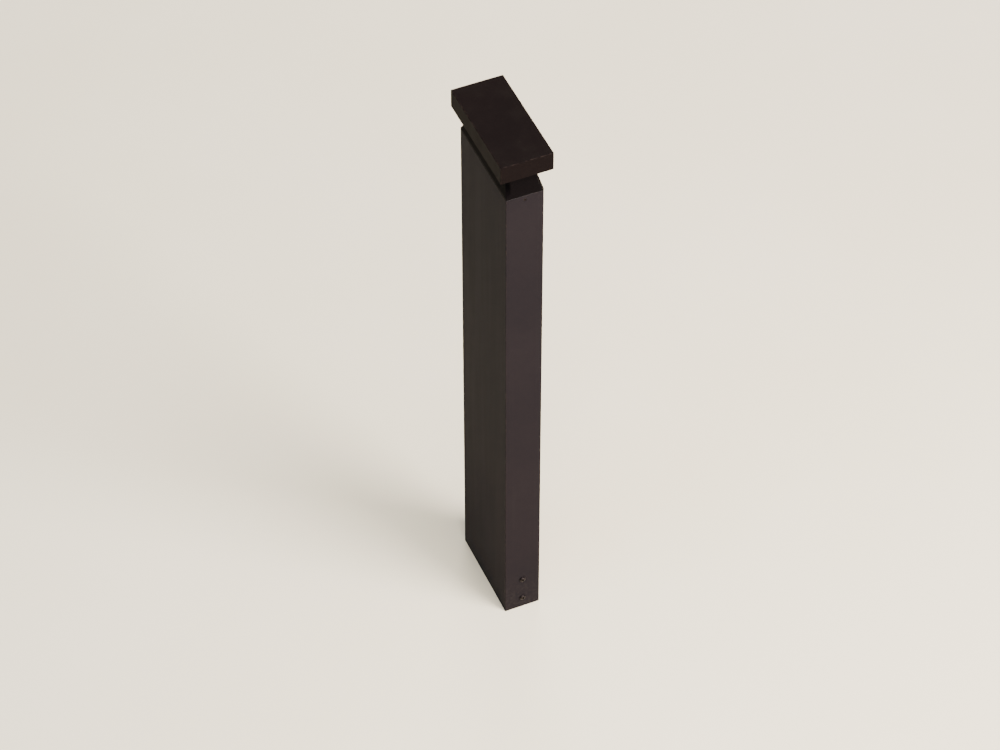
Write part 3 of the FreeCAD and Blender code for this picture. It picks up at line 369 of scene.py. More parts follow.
silicone = moulding("silicone", (0.022, 0.022, 0.024), 0.62)
nylon = moulding("nylon", (0.020, 0.020, 0.021), 0.46)
lead_sheath = moulding("lead_sheath", (0.018, 0.018, 0.019), 0.50)
driver_plastic = moulding("driver_plastic", (0.40, 0.40, 0.385), 0.42, 0.0009, 0.00003)
label_foil = moulding("label_foil", (0.23, 0.24, 0.25), 0.28, 0.0005, 0.000005, 0.15)
potting = moulding("potting", (0.030, 0.030, 0.032), 0.26, 0.0040, 0.00010)
surge_plastic = moulding("surge_plastic", (0.040, 0.046, 0.052), 0.30)
connector_pale = moulding("connector_pale", (0.40, 0.42, 0.42), 0.14)
lever_orange = moulding("lever_orange", (0.62, 0.135, 0.010), 0.30)
wire_black = moulding("wire_black", (0.020, 0.020, 0.021), 0.34)
wire_white = moulding("wire_white", (0.52, 0.51, 0.48), 0.36)
wire_green = moulding("wire_green", (0.030, 0.220, 0.055), 0.35)
wire_red = moulding("wire_red", (0.420, 0.018, 0.014), 0.34)
led_frame_white = moulding("led_frame_white", (0.78, 0.77, 0.74), 0.34)
status_lens = moulding("status_lens", (0.030, 0.420, 0.110), 0.12)

# %% [markdown]
# ## Glass, optic and glowing phosphor
#
# The window is glass with a faint satin skin, so the light spreads and the LEDs blur. The optic above it is
# clear acrylic. The LEDs are yellow phosphor over blue dice, and they are switched on. They glow brightly
# enough to show through both layers, and are far too small to outshine the studio.

# %% Glass and phosphor
CLEAR_SHARE = 0.94
REFRACTION = 1.49
PHOSPHOR_GLOW = 60.0


def clear_part(name, tint, rough, frost_size, depth):
    """A see-through part: tinted transmission, with smears in its roughness and fine frost in its normal."""
    material, tree, shader, place = start_finish(name)
    haze = remap(tree, noise(tree, place, 0.010, detail=5.0), 0.40, 0.70)
    shade = tuple(t * 0.975 for t in tint)
    tree.links.new(blend_colour(tree, haze, tint, shade), shader.inputs["Base Color"])
    smear = remap(tree, noise(tree, place, 0.006, detail=5.0), 0.40, 0.70, rough, rough * 1.25 + 0.01)
    tree.links.new(smear, shader.inputs["Roughness"])
    tree.links.new(bump(tree, noise(tree, place, frost_size, detail=1.0), depth), shader.inputs["Normal"])
    shader.inputs["Transmission Weight"].default_value = CLEAR_SHARE
    shader.inputs["IOR"].default_value = REFRACTION
    return material


def phosphor_dome(name):
    """Yellow phosphor in clear silicone, glowing warm, with the speckle of its powder."""
    material, tree, shader, place = start_finish(name)
    speckle = remap(tree, noise(tree, place, 0.0003, detail=2.0), *CLOUDY)
    colour = blend_colour(tree, speckle, (0.88, 0.62, 0.12), (0.95, 0.76, 0.28))
    tree.links.new(colour, shader.inputs["Base Color"])
    glow = blend_colour(tree, speckle, (1.0, 0.72, 0.40), (1.0, 0.80, 0.52))
    tree.links.new(glow, shader.inputs["Emission Color"])
    tree.links.new(remap(tree, speckle, 0.0, 1.0, 0.22, 0.34), shader.inputs["Roughness"])
    shader.inputs["Emission Strength"].default_value = PHOSPHOR_GLOW
    return material


window_glass = clear_part("window_glass", (0.95, 0.97, 0.955), 0.10, 0.0005, 0.000006)
optic_acrylic = clear_part("optic_acrylic", (0.96, 0.97, 0.98), 0.04, 0.0030, 0.00001)
phosphor = phosphor_dome("phosphor")

# %% [markdown]
# ## The LED board's skin
#
# A metal-core board is white solder mask over copper. Where a copper island lies under the mask, the white
# is a touch warmer and stands a hair proud. The islands repeat with the LEDs along the board, so the
# pattern is a wave along Y with the LEDs' pitch, squared off by a smooth step.

# %% Board mask
LEDS_PER_BOARD = 10
chip_low, chip_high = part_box("led_chips_right")
LED_WIDE = chip_high.x - chip_low.x
LED_PITCH = (chip_high.y - chip_low.y - LED_WIDE) / (LEDS_PER_BOARD - 1)


def board_mask(name):
    """White mask: islands are where cos(2 pi y / pitch) is under 0.66. It is -1 at the middle of each LED."""
    material, tree, shader, place = start_finish(name)
    along = axis_parts(tree, place)[1]
    turns = sum_of(tree, "MULTIPLY", along, 2 * math.pi / LED_PITCH)
    wave = sum_of(tree, "COSINE", turns)
    island = remap(tree, wave, 0.62, 0.70, 1.0, 0.0)
    colour = blend_colour(tree, island, (0.74, 0.74, 0.72), (0.83, 0.81, 0.76))
    dust = remap(tree, noise(tree, place, 0.003, detail=4.0), 0.45, 0.70, 0.0, 0.2)
    tree.links.new(blend_colour(tree, dust, colour, (0.55, 0.54, 0.51)), shader.inputs["Base Color"])
    tree.links.new(remap(tree, dust, 0.0, 0.2, 0.30, 0.48), shader.inputs["Roughness"])
    tree.links.new(bump(tree, island, 0.00005), shader.inputs["Normal"])
    return material


mask_white = board_mask("mask_white")
print("LED pitch in mm:", round(LED_PITCH * 1000, 2))

# %% Give the CAD parts their finishes
FINISHES = (
    (post_coat, "post_tube"),
    (head_coat_painted_shade, "head_housing"),
    (cover_coat_painted_shade, "bottom_cover"),
    (cast_coat_painted_shade, "neck_casting"),
    (base_alloy, "anchor_base"),
    (zinc_sheet, "front_clamp_bar", "rear_clamp_bar", "gear_tray"),
    (mill_alloy, "heat_spreader"),
    (black_steel, "base_lock_screws", "neck_set_screws"),
    (stainless, "ground_screw", "ground_washer", "neck_screws", "cover_screws", "spreader_screws",
     "board_screws", "tray_screws", "gear_screws", "tray_ground_screw"),
    (tinned, "ring_terminal"),
    (silicone, "post_top_gasket", "neck_gasket", "cover_gasket", "window_gasket_left", "window_gasket_right"),
    (nylon, "vent_plug", "gland_body", "gland_lock_nut"),
    (lead_sheath, "led_lead", "lead_boot"),
    (wire_black, "live_wires"),
    (wire_white, "neutral_wires", "board_wires_negative"),
    (wire_green, "earth_wires"),
    (wire_red, "board_wires_positive"),
    (mask_white, "led_board_left", "led_board_right"),
)


def wear(node, material):
    """Makes a finish the only material of a CAD node."""
    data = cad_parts[node].data
    data.materials.clear()
    data.materials.append(material)


for material, *nodes in FINISHES:
    for node in nodes:
        wear(node, material)
print("finished", sum(len(row) - 1 for row in FINISHES), "CAD parts of", len(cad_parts))

# %% [markdown]
# ## Surfaces from rings
#
# The finer pieces are moulded, pressed or turned: lenses, cases, levers and collars. All of them can be
# drawn as rings of points, one behind the other, with a skin of four-sided faces between. A ring is a row
# of a table and its points are the columns, so numpy works out a whole piece at once. Modelling them from
# blocks and cutters would also work, but rings keep the faces in neat rows, which shade smoothly. From here
# on sizes are in millimetres, and a piece is turned to metres when its mesh is made.

# %% Rings
MM = 0.001
TURN_FOR_AXIS = {"Z": 0, "X": 1, "Y": 2}


def rounded_ring(half_u, half_v, radius, steps=7):
    """Corner centres (+-(hu - r), +-(hv - r)) plus r (cos t, sin t), t once round. r = hu = hv: a circle."""
    quarter = np.repeat(np.arange(4), steps)
    angle = quarter * math.pi / 2 + np.tile(np.linspace(0.0, math.pi / 2, steps), 4)
    side_u = np.array([1, -1, -1, 1])[quarter]
    side_v = np.array([1, 1, -1, -1])[quarter]
    u = side_u * (half_u - radius) + radius * np.cos(angle)
    v = side_v * (half_v - radius) + radius * np.sin(angle)
    return np.stack([u, v], axis=-1)


def ring_stack(rings, along, axis):
    """Rings (k, n, 2) at places (k,) along an axis become points (k, n, 3): (u, v, w) rolled to X, Y, Z."""
    rings = np.asarray(rings, dtype=float)
    depth = np.broadcast_to(np.asarray(along, dtype=float)[:, None], rings.shape[:2])
    return np.roll(np.dstack([rings, depth]), TURN_FOR_AXIS[axis], axis=-1)


# %% Skins
def skin(rings, looped=False):
    """Quads (i, j), (i, j+1), (i+1, j+1), (i+1, j), and a fan from each end ring's middle unless looped."""
    count, around = rings.shape[:2]
    rows = np.arange(count if looped else count - 1)[:, None]
    here = np.arange(around)[None, :]
    after = (here + 1) % around
    low, high = rows * around, (rows + 1) % count * around
    quads = np.stack([low + here, low + after, high + after, high + here], axis=-1).reshape(-1, 4)
    points = rings.reshape(-1, 3)
    if looped:
        return points, quads, np.empty((0, 3), dtype=int)
    middles = np.stack([rings[0].mean(axis=0), rings[-1].mean(axis=0)])
    here, after, last = here[0], after[0], (count - 1) * around
    first_fan = np.stack([np.full(around, len(points)), after, here], axis=-1)
    last_fan = np.stack([np.full(around, len(points) + 1), last + here, last + after], axis=-1)
    return np.vstack([points, middles]), quads, np.vstack([first_fan, last_fan])


def copies(shape, places):
    """The same skin once at each place: points plus the place, and corner numbers raised to match."""
    points, quads, fans = shape
    places = np.asarray(places, dtype=float)
    raised = np.arange(len(places))[:, None, None] * len(points)
    moved = (points[None] + places[:, None]).reshape(-1, 3)
    return moved, (quads[None] + raised).reshape(-1, 4), (fans[None] + raised).reshape(-1, 3)


def joined(*shapes):
    """Several skins as one, each skin's corner numbers raised by the points before it."""
    starts = np.cumsum([0] + [len(points) for points, _, _ in shapes[:-1]])
    points = np.vstack([shape[0] for shape in shapes])
    quads = np.vstack([shape[1] + start for shape, start in zip(shapes, starts)])
    fans = np.vstack([shape[2] + start for shape, start in zip(shapes, starts)])
    return points, quads, fans


# %% Blocks, plates and turned shapes
def round_rim(low, high, bevel, steps=4):
    """(inset, place) pairs: inset = b (1 - sin t) and lift = b (1 - cos t) at both ends, t to a quarter."""
    t = np.linspace(0.0, math.pi / 2, steps)
    inset, lift = bevel * (1 - np.sin(t)), bevel * (1 - np.cos(t))
    return [*zip(inset, low + lift), *zip(inset[::-1], (high - lift)[::-1])]


def stepped_block(half_u, half_v, radius, steps, axis):
    """A round-cornered block along an axis, its outline drawn in by inset at each (inset, place) step."""
    rings = [rounded_ring(half_u - inset, half_v - inset, max(radius - inset, 0.02)) for inset, _ in steps]
    return skin(ring_stack(rings, [place for _, place in steps], axis))


def holed_plate(half_u, half_v, radius, hole, low, high, axis, rim=0.25):
    """Outer rim up, hole down, looped: outlines hu - i and circles hole + i, with i = rim at the faces."""
    outer = [rounded_ring(half_u - i, half_v - i, radius - i) for i in (rim, 0.0, 0.0, rim)]
    inner = [rounded_ring(hole + i, hole + i, hole + i) for i in (rim, 0.0, 0.0, rim)]
    along = [low, low + rim, high - rim, high, high, high - rim, low + rim, low]
    return skin(ring_stack(outer + inner, along, axis), looped=True)


def turned(radii, along, axis, looped=False, steps=8):
    """Circles of the given radii at places along an axis, closed by end fans or looped into a tube wall."""
    circles = [rounded_ring(radius, radius, radius, steps) for radius in radii]
    return skin(ring_stack(circles, along, axis), looped)


# %% Make a piece
SHARP = math.radians(35)
SAME_POINT = 2e-7


def box_mm(node):
    """A CAD node's lowest and highest corners in millimetres."""
    low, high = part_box(node)
    return np.array(low) / MM, np.array(high) / MM


def add_piece(name, shape, material, slot, *stands_for):
    """A mesh from a skin: doubles merged, smooth but for sharp edges, riding on the head's body."""
    points, quads, fans = shape
    mesh = bpy.data.meshes.new(name)
    mesh.from_pydata((points * MM).tolist(), [], quads.tolist() + fans.tolist())
    tidy = bmesh.new()
    tidy.from_mesh(mesh)
    bmesh.ops.remove_doubles(tidy, verts=tidy.verts, dist=SAME_POINT)
    volume = tidy.calc_volume(signed=True)
    tidy.to_mesh(mesh)
    tidy.free()
    mesh.shade_smooth()
    mesh.set_sharp_from_angle(angle=SHARP)
    mesh.materials.append(material)
    piece = bpy.data.objects.new(name, mesh)
    bpy.context.scene.collection.objects.link(piece)
    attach(piece, "head")
    if stands_for:
        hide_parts(*stands_for)
    print(f"{name}: {len(mesh.polygons)} faces, {volume / MM**3:.1f} cubic mm")


# %% [markdown]
# ## Windows with ribs inside
#
# Each window is a strip of glass. Its outer face is plain, so that rain washes it, and its inner face has
# fine ribs along its length, which stretch each LED's image across the strip. The ribs could be a bump in
# the material, but they bend the light that passes through, so they are real here. A cosine across the
# strip makes them, and it fades to nothing at the rim, where the glass sits flat in its pocket.

# %% Windows
RIB_PITCH = 1.30
RIB_DEPTH = 0.40
RIB_SAMPLES = 12
RIB_FADE = 2.0
WINDOW_RIM, WINDOW_CHAMFER, WINDOW_CORNER = 1.5, 0.2, 1.0


def fade(distance, width):
    """0 at distance 0, 1 from width on, and 3t^2 - 2t^3 between, with t = distance / width."""
    t = np.clip(distance / width, 0.0, 1.0)
    return t * t * (3 - 2 * t)


def two_sheets(across, along, under, over):
    """Rings along Y, each the upper sheet at rising x and then the lower one at falling x, as (z, x)."""
    x = np.broadcast_to(across, under.shape)
    z = np.concatenate([over, under[:, ::-1]], axis=1)
    rings = np.dstack([z, np.concatenate([x, x[:, ::-1]], axis=1)])
    return skin(ring_stack(rings, along, "Y"))


def window_strip(low, high):
    """Upper face z = top - depth (1 - cos(2 pi x / pitch)) / 2 inside the rim, and round corners."""
    middle, half = (low + high) / 2, (high - low) / 2
    ribs = int(2 * (half[0] - WINDOW_RIM) / RIB_PITCH)
    inner = np.linspace(-1.0, 1.0, ribs * RIB_SAMPLES + 1) * ribs * RIB_PITCH / 2
    edge = np.array([half[0] - WINDOW_CHAMFER, half[0]])
    x = np.concatenate([-edge[::-1], inner, edge])
    round_from = half[1] - WINDOW_CORNER
    end = round_from + WINDOW_CORNER * np.sin(np.linspace(0.0, math.pi / 2, 6))
    straight = half[1] - WINDOW_CORNER - WINDOW_RIM
    y = np.concatenate([-end[::-1], np.linspace(-straight, straight, 7), end])
    near_end = np.clip((np.abs(y) - round_from) / WINDOW_CORNER, 0.0, 1.0)
    squeeze = 1 - WINDOW_CORNER * (1 - np.sqrt(1 - near_end**2)) / half[0]
    wave = (1 - np.cos(2 * math.pi * (x + ribs * RIB_PITCH / 2) / RIB_PITCH)) / 2
    wave *= np.abs(x) <= ribs * RIB_PITCH / 2
    rim = WINDOW_CHAMFER * (np.abs(x) > half[0] - WINDOW_CHAMFER / 2)
    over = high[2] - rim - RIB_DEPTH * wave * fade(half[1] - WINDOW_RIM - np.abs(y), RIB_FADE)[:, None]
    under = np.broadcast_to(low[2] + rim, over.shape)
    shape = two_sheets(x, y, under, over)
    shape[0][:-2, 0] *= np.repeat(squeeze, 2 * len(x))
    shape[0][:, 0] += middle[0]
    return shape


for side in ("left", "right"):
    add_piece(f"ribbed_window_{side}", window_strip(*box_mm(f"window_{side}")), window_glass, "window",
              f"window_{side}")

# %% [markdown]
# ## Lens strips
#
# Under each board runs a strip of clear acrylic with one lens for each LED. The lens is a mound with a
# saddle across its middle: it throws light to both sides instead of straight down, so the ground is lit
# evenly. Sculpting it would take long and repeat badly. As a height it is one line: a rounded mound
# multiplied by a dip, and the remainder of y over the pitch repeats it along the strip.

# %% Lens strips
FLANGE_THICK = 1.5
FLANGE_DROP = 1.0
MOUND_X, MOUND_Y, MOUND_HIGH = 3.2, 3.9, 3.95
MOUND_POWER, SADDLE_DEEP, SADDLE_WIDE = 0.85, 0.25, 0.4
LENS_SAMPLES_X, LENS_SAMPLES_Y = 27, 243
PEG_RADIUS, PEG_HOLE, PEG_EDGE = 2.6, 1.9, 0.1
pitch = LED_PITCH / MM
led_y = (np.arange(LEDS_PER_BOARD) - (LEDS_PER_BOARD - 1) / 2) * pitch
screw_y = np.array([-LEDS_PER_BOARD / 2, -2, 2, LEDS_PER_BOARD / 2]) * pitch


def lens_mound(x, y):
    """h (1 - u^2 - v^2)^p (1 - deep exp(-(v / wide)^2)), u = x / a and v = y / b from the nearest LED."""
    from_led = (np.mod(y / pitch, 1.0) - 0.5) * pitch
    u, v = x / MOUND_X, from_led / MOUND_Y
    mound = np.clip(1 - u * u - v * v, 0.0, 1.0) ** MOUND_POWER
    inside = np.abs(y) < LEDS_PER_BOARD / 2 * pitch
    saddle = 1 - SADDLE_DEEP * np.exp(-((v / SADDLE_WIDE) ** 2))
    return MOUND_HIGH * mound * saddle * inside


def lens_strip(low, high):
    """Two sheets: a flat flange above, and the flange's lower face pushed down by the mounds."""
    middle, half = (low + high) / 2, (high - low) / 2
    x = np.linspace(-half[0], half[0], LENS_SAMPLES_X)
    y = np.linspace(-half[1], half[1], LENS_SAMPLES_Y)
    top = high[2] - FLANGE_DROP
    over = np.full((len(y), len(x)), top)
    under = top - FLANGE_THICK - lens_mound(x[None, :], y[:, None])
    strip = two_sheets(x, y, under, over)
    foot = top - 2 * PEG_EDGE
    radii = [PEG_RADIUS - PEG_EDGE, PEG_RADIUS, PEG_RADIUS, PEG_HOLE, PEG_HOLE]
    peg = turned(radii, [foot, top, high[2], high[2], foot], "Z", looped=True)
    pegs = copies(peg, [(0, place, 0) for place in screw_y])
    return copies(joined(strip, pegs), [(middle[0], 0, 0)])


for side in ("left", "right"):
    add_piece(f"lens_strip_{side}", lens_strip(*box_mm(f"optic_{side}")), optic_acrylic, "optic_clear",
              f"optic_{side}")

# %% [markdown]
# ## LED packages
#
# A package is a square white frame, 3 mm across, with a round well of yellow phosphor. Seen from below, the
# frames are what makes a row of LEDs look like LEDs and not like a row of tiles. The frame's rings start in
# the well, come out over its lip and close behind it, and they turn from round to square on the way.

# %% LEDs
WELL_RADII, WELL_DEEP = (1.10, 1.28), 0.42
FRAME_CORNER, FRAME_EDGE = 0.30, 0.15
BOWL_RADII = [0.35, 0.75, 1.02, 1.10, 1.05]
BOWL_DEPTHS = np.array([0.08, 0.11, 0.17, 0.24, 0.40])


def led_shapes(low, high):
    """Frame: circles of the well, then squares of the outside. Phosphor: z = a shallow bowl of circles."""
    half, face, back = (high[0] - low[0]) / 2, low[2], high[2]
    well = [rounded_ring(r, r, r) for r in WELL_RADII]
    square = [rounded_ring(half - i, half - i, FRAME_CORNER - i) for i in (FRAME_EDGE, 0.0, 0.0)]
    depths = [face + WELL_DEEP, face, face, face + FRAME_EDGE, back]
    frame_shape = skin(ring_stack(well + square, depths, "Z"))
    bowl = turned(BOWL_RADII, face + BOWL_DEPTHS, "Z", steps=6)
    places = [((low[0] + high[0]) / 2, y, 0) for y in led_y]
    return copies(frame_shape, places), copies(bowl, places)


for side in ("left", "right"):
    led_frames, led_bowls = led_shapes(*box_mm(f"led_chips_{side}"))
    add_piece(f"led_frames_{side}", led_frames, led_frame_white, "board_mask", f"led_chips_{side}")
    add_piece(f"led_phosphor_{side}", led_bowls, phosphor, "led_phosphor")

# %% [markdown]
# ## Solder where the cores land
#
# Each board has two pads, and solder climbs the wire there in a little volcano. A turned shape with a
# hollow flank gives it: the radius shrinks fast at first and then slowly, as melted metal does when it
# wets a wire.

# %% Solder
SOLDER_SPREAD, SOLDER_TALL, SOLDER_SKIN = 1.1, 1.5, 0.05
pad_low, pad_high = box_mm("board_wires_positive")
core_low, _ = box_mm("board_wires_negative")
board_face = box_mm("led_board_right")[0][2]
core_radius = (pad_high[1] - pad_low[1]) / 2
flank = np.linspace(0.0, 1.0, 9)


def solder_cone():
    """Radius r + spread (1 - t)^2 at tall times t below the board, t from 0 to 1: a hollow flank."""
    radii = core_radius + SOLDER_SKIN + SOLDER_SPREAD * (1 - flank) ** 2
    return turned(radii[::-1], board_face - SOLDER_TALL * flank[::-1], "Z")


solder_x = pad_high[0] - core_radius
solder_y = [(pad_low[1] + pad_high[1]) / 2, core_low[1] + core_radius]
solder = copies(solder_cone(), [(side * solder_x, y, 0) for side in (-1, 1) for y in solder_y])
add_piece("board_solder", solder, tinned, "tinned")

# %% [markdown]
# ## The LED driver's case
#
# The driver is a moulded case with a cap on each end. The caps' seams, the rounded rims, the ears that
# take its screws and a blank rating label make it read as a real driver. Its three input wires leave
# through small collars and its output lead through a ribbed sleeve, which keeps the lead from kinking.

# %% LED driver
EAR_HALF, EAR_THICK, EAR_LONG, EAR_CORNER, SCREW_HOLE = 8.0, 2.0, 11.0, 2.0, 1.8
CASE_CORNER, CASE_RIM = 2.4, 1.6
CAP_LONG, SEAM_WIDE, SEAM_DEEP, SEAM_SLOPE = 9.0, 0.7, 0.5, 0.15
LABEL_THICK, LABEL_CORNER, LABEL_HALF_Y, LABEL_HALF_Z = 0.15, 2.0, 22.0, 52.0
LEAD_X, LEAD_RADIUS = 3.0, 3.5
WIRE_RADIUS = 1.1
SUPPLY_Y = (14.0, 19.0, 24.0)


def seam(place):
    """Steps into and out of a shallow groove that starts at a place."""
    end = place + SEAM_WIDE
    return [(0.0, place), (SEAM_DEEP, place + SEAM_SLOPE), (SEAM_DEEP, end - SEAM_SLOPE), (0.0, end)]


def ears(back, y, bottom, top):
    """A holed plate past each end of a case, flat against the tray."""
    plate = holed_plate(EAR_HALF, EAR_LONG / 2, EAR_CORNER, SCREW_HOLE, back, back + EAR_THICK, "X")
    return copies(plate, [(0, y, bottom - EAR_LONG / 2), (0, y, top + EAR_LONG / 2)])


def driver_case(low, high):
    """Rings along Z: a rounded rim, a cap, a seam, the long body, a seam, a cap and a rounded rim."""
    bottom, top = low[2] + EAR_LONG, high[2] - EAR_LONG
    rim = round_rim(bottom, top, CASE_RIM)
    half = len(rim) // 2
    steps = rim[:half] + seam(bottom + CAP_LONG) + seam(top - CAP_LONG - SEAM_WIDE) + rim[half:]
    half_x = (high[0] - low[0] - LABEL_THICK) / 2
    body = stepped_block(half_x, (high[1] - low[1]) / 2, CASE_CORNER, steps, "Z")
    body = copies(body, [(low[0] + half_x, 0, 0)])
    return joined(body, ears(low[0], 0.0, bottom, top)), bottom, top


driver_low, driver_high = box_mm("led_driver")
case_shape, driver_bottom, driver_top = driver_case(driver_low, driver_high)
add_piece("driver_case", case_shape, driver_plastic, "driver_case", "led_driver")


def face_label(front, y, z, half_y, half_z):
    """A thin foil rectangle with round corners on a face that looks along +X."""
    steps = [(0.0, front - 0.05), (0.0, front - 0.03), (0.04, front)]
    return copies(stepped_block(half_y, half_z, LABEL_CORNER, steps, "X"), [(0, y, z)])


label = face_label(driver_high[0], 0.0, (driver_bottom + driver_top) / 2, LABEL_HALF_Y, LABEL_HALF_Z)
add_piece("driver_label", label, label_foil, "driver_case")

# %% Collars where wires leave the driver
SLEEVE_LONG, SLEEVE_WIDE, SLEEVE_RIBS = 15.0, 6.2, 6
SLEEVE_TIP_WALL, SLEEVE_RIPPLE = 0.7, 0.45
TUCKED_IN, LOOSE_FIT = 0.4, 0.05


def ribbed_sleeve(start, end, wide, bore, ribs):
    """Radius falls in a line from wide to bore + tip wall, with cosine ripples; the bore closes the loop."""
    t = np.linspace(0.0, 1.0, ribs * 6 + 1)
    ripple = SLEEVE_RIPPLE * (np.cos(2 * math.pi * ribs * t) - 1) / 2
    radii = wide + (bore + SLEEVE_TIP_WALL - wide) * t + ripple
    along = start + (end - start) * t
    return np.concatenate([radii, [bore, bore]]), np.concatenate([along, [end, start]])


sleeve_profile = ribbed_sleeve(
    driver_top - TUCKED_IN, driver_top + SLEEVE_LONG, SLEEVE_WIDE, LEAD_RADIUS + LOOSE_FIT, SLEEVE_RIBS)
sleeve = turned(*sleeve_profile, "Z", looped=True)
wire_bore = WIRE_RADIUS + LOOSE_FIT
collar_radii = [wire_bore, 1.7, 2.2, 2.2, wire_bore]
collar_z = driver_bottom + np.array([-2.6, -2.6, -1.0, TUCKED_IN, TUCKED_IN])
collar = turned(collar_radii, collar_z, "Z", looped=True)
sleeves = joined(
    copies(sleeve, [(LEAD_X, 0, 0)]),
    copies(collar, [(0, y, 0) for y in SUPPLY_Y]),
)
add_piece("driver_wire_collars", sleeves, nylon, "nylon")

# %% [markdown]
# ## The surge protector
#
# A surge protector is a small potted box: the parts sit in a cup, and resin fills it nearly to the brim.
# The rings climb the outside, roll over the brim and drop to the resin, whose face is a separate, glossier
# piece that dips a little where it shrank. A green lens on it shows that it still works.

# %% Surge protector
CUP_WALL, CUP_CORNER, CUP_BRIM, RESIN_DROP = 1.8, 3.0, 0.6, 1.2
STATUS_LENS_DROP = 10.0


def surge_cup(low, high):
    """Rings along X: outside up, over a rounded brim, and down inside to the resin's level."""
    bottom, top = low[2] + EAR_LONG, high[2] - EAR_LONG
    half_y, half_z = (high[1] - low[1]) / 2, (top - bottom) / 2
    back, front = low[0], high[0]
    level = front - RESIN_DROP
    outside = [(0.8, back), (0.0, back + 0.8), (0.0, front - CUP_BRIM), (0.18, front - 0.18)]
    inside = [(CUP_BRIM, front), (CUP_WALL - 0.3, front), (CUP_WALL, front - 0.3), (CUP_WALL, level - 1.0)]
    fill = [(0.0, -0.9), (0.0, 0.0), (1.0, -0.22), (3.0, -0.34)]
    fill = [(CUP_WALL + inset, level + rise) for inset, rise in fill]
    middle_y = (low[1] + high[1]) / 2
    middle = [(0, middle_y, (bottom + top) / 2)]
    cup = copies(stepped_block(half_y, half_z, CUP_CORNER, outside + inside, "X"), middle)
    resin = copies(stepped_block(half_y, half_z, CUP_CORNER, fill, "X"), middle)
    return joined(cup, ears(low[0], middle_y, bottom, top)), resin, middle_y, top, level


surge_low, surge_high = box_mm("surge_protector")
cup_shape, resin_shape, surge_y, surge_top, resin_level = surge_cup(surge_low, surge_high)
add_piece("surge_cup", cup_shape, surge_plastic, "surge_case", "surge_protector")
add_piece("surge_resin", resin_shape, potting, "surge_case")
lens = turned([2.4, 2.4, 2.2, 1.6, 0.7], resin_level + np.array([-0.5, 0.2, 0.6, 0.9, 1.05]), "X")
lens = copies(lens, [(0, surge_y, surge_top - STATUS_LENS_DROP)])
add_piece("surge_status_lens", lens, status_lens, "surge_case")

# %% [markdown]
# ## Lever splice connectors
#
# Each connector is a pale moulded body with two orange levers that clamp the wires. The body ends behind
# the levers, which give the connector its full depth, and funnels on its top guide the stripped wires in.

# %% Splice connectors
CONNECTOR_WIDE, CONNECTOR_STEP, CONNECTOR_CORNER, ENTRY_STEP = 12.5, 15.0, 1.4, 3.0
LEVER_WIDE, LEVER_THICK, LEVER_HALF_LONG, LEVER_CORNER, LEVER_RISE = 4.6, 1.7, 6.6, 1.2, 1.2
connector_low, connector_high = box_mm("splice_connectors")
connector_y = connector_low[1] + CONNECTOR_WIDE / 2 + CONNECTOR_STEP * np.arange(3)
connector_mid_z = (connector_low[2] + connector_high[2]) / 2
connector_half_z = (connector_high[2] - connector_low[2]) / 2
entry_x = (connector_low[0] + connector_high[0]) / 2


def connector_body():
    """A rounded block along X, drawn in by 0.35 for its last 2 mm, where the levers lie."""
    back, front = connector_low[0], connector_high[0] - LEVER_THICK
    full = [(0.5, back), (0.0, back + 0.5), (0.0, front - 2.4)]
    drawn_in = [(0.35, front - 2.0), (0.35, front - 0.5), (0.9, front)]
    steps = full + drawn_in
    return stepped_block(CONNECTOR_WIDE / 2, connector_half_z, CONNECTOR_CORNER, steps, "X")


def lever():
    """A rounded bar whose front bulges: its outline draws in as it rises to the front."""
    front = connector_high[0]
    root = front - LEVER_THICK
    steps = [(0.25, root - 0.6), (0.0, root), (0.0, front - 0.7), (0.25, front - 0.25), (0.7, front)]
    return stepped_block(LEVER_WIDE / 2, LEVER_HALF_LONG, LEVER_CORNER, steps, "X")


bodies = copies(connector_body(), [(0, y, connector_mid_z) for y in connector_y])
entries = [(entry_x, y + side * ENTRY_STEP, 0) for y in connector_y for side in (-1, 1)]
funnel_z = connector_high[2] + np.array([-0.5, 0.5, 0.5, -0.5])
funnel = turned([2.1, 2.3, 1.9, WIRE_RADIUS + 0.1], funnel_z, "Z", looped=True)
bodies = joined(bodies, copies(funnel, entries))
add_piece("connector_bodies", bodies, connector_pale, "connector_body", "splice_connectors")
levers = copies(lever(), [(0, y, connector_mid_z + LEVER_RISE) for _, y, _ in entries])
add_piece("connector_levers", levers, lever_orange, "connector_body")

# %% [markdown]
# ## The gland's grip nut
#
# The nut that squeezes the gland's seal is turned by hand first, so it has grips round its skirt. They are
# a ripple on the radius, a cosine with one wave for each grip, which fades out over the dome.

# %% Grip nut
GRIPS, GRIP_DEEP, GRIP_SAMPLES = 16, 0.35, 128


def grip_nut(low, high):
    """Radius (profile) - deep grip (1 - cos(grips t)) / 2, on the dome, the skirt and back down the bore."""
    outside = (high[0] - low[0]) / 2
    drop = high[2] - low[2]
    radii = np.array([4.2, 5.6, 7.6, 9.0, 9.5, outside, outside, outside, 8.1, 8.1, 4.2])
    along = low[2] + drop * np.array([0.0, 0.0, 0.10, 0.24, 0.36, 0.42, 0.92, 1.0, 1.0, 0.57, 0.57])
    grip = np.array([0, 0, 0, 0.3, 0.8, 1, 1, 0.2, 0, 0, 0])
    t = np.linspace(0.0, 2 * math.pi, GRIP_SAMPLES, endpoint=False)
    radius = radii[:, None] - GRIP_DEEP * grip[:, None] * (1 - np.cos(GRIPS * t))[None, :] / 2
    rings = np.dstack([radius * np.cos(t), radius * np.sin(t)])
    return skin(ring_stack(rings, along, "Z"), looped=True)


add_piece("gland_grip_nut", grip_nut(*box_mm("gland_dome_nut")), nylon, "nylon", "gland_dome_nut")

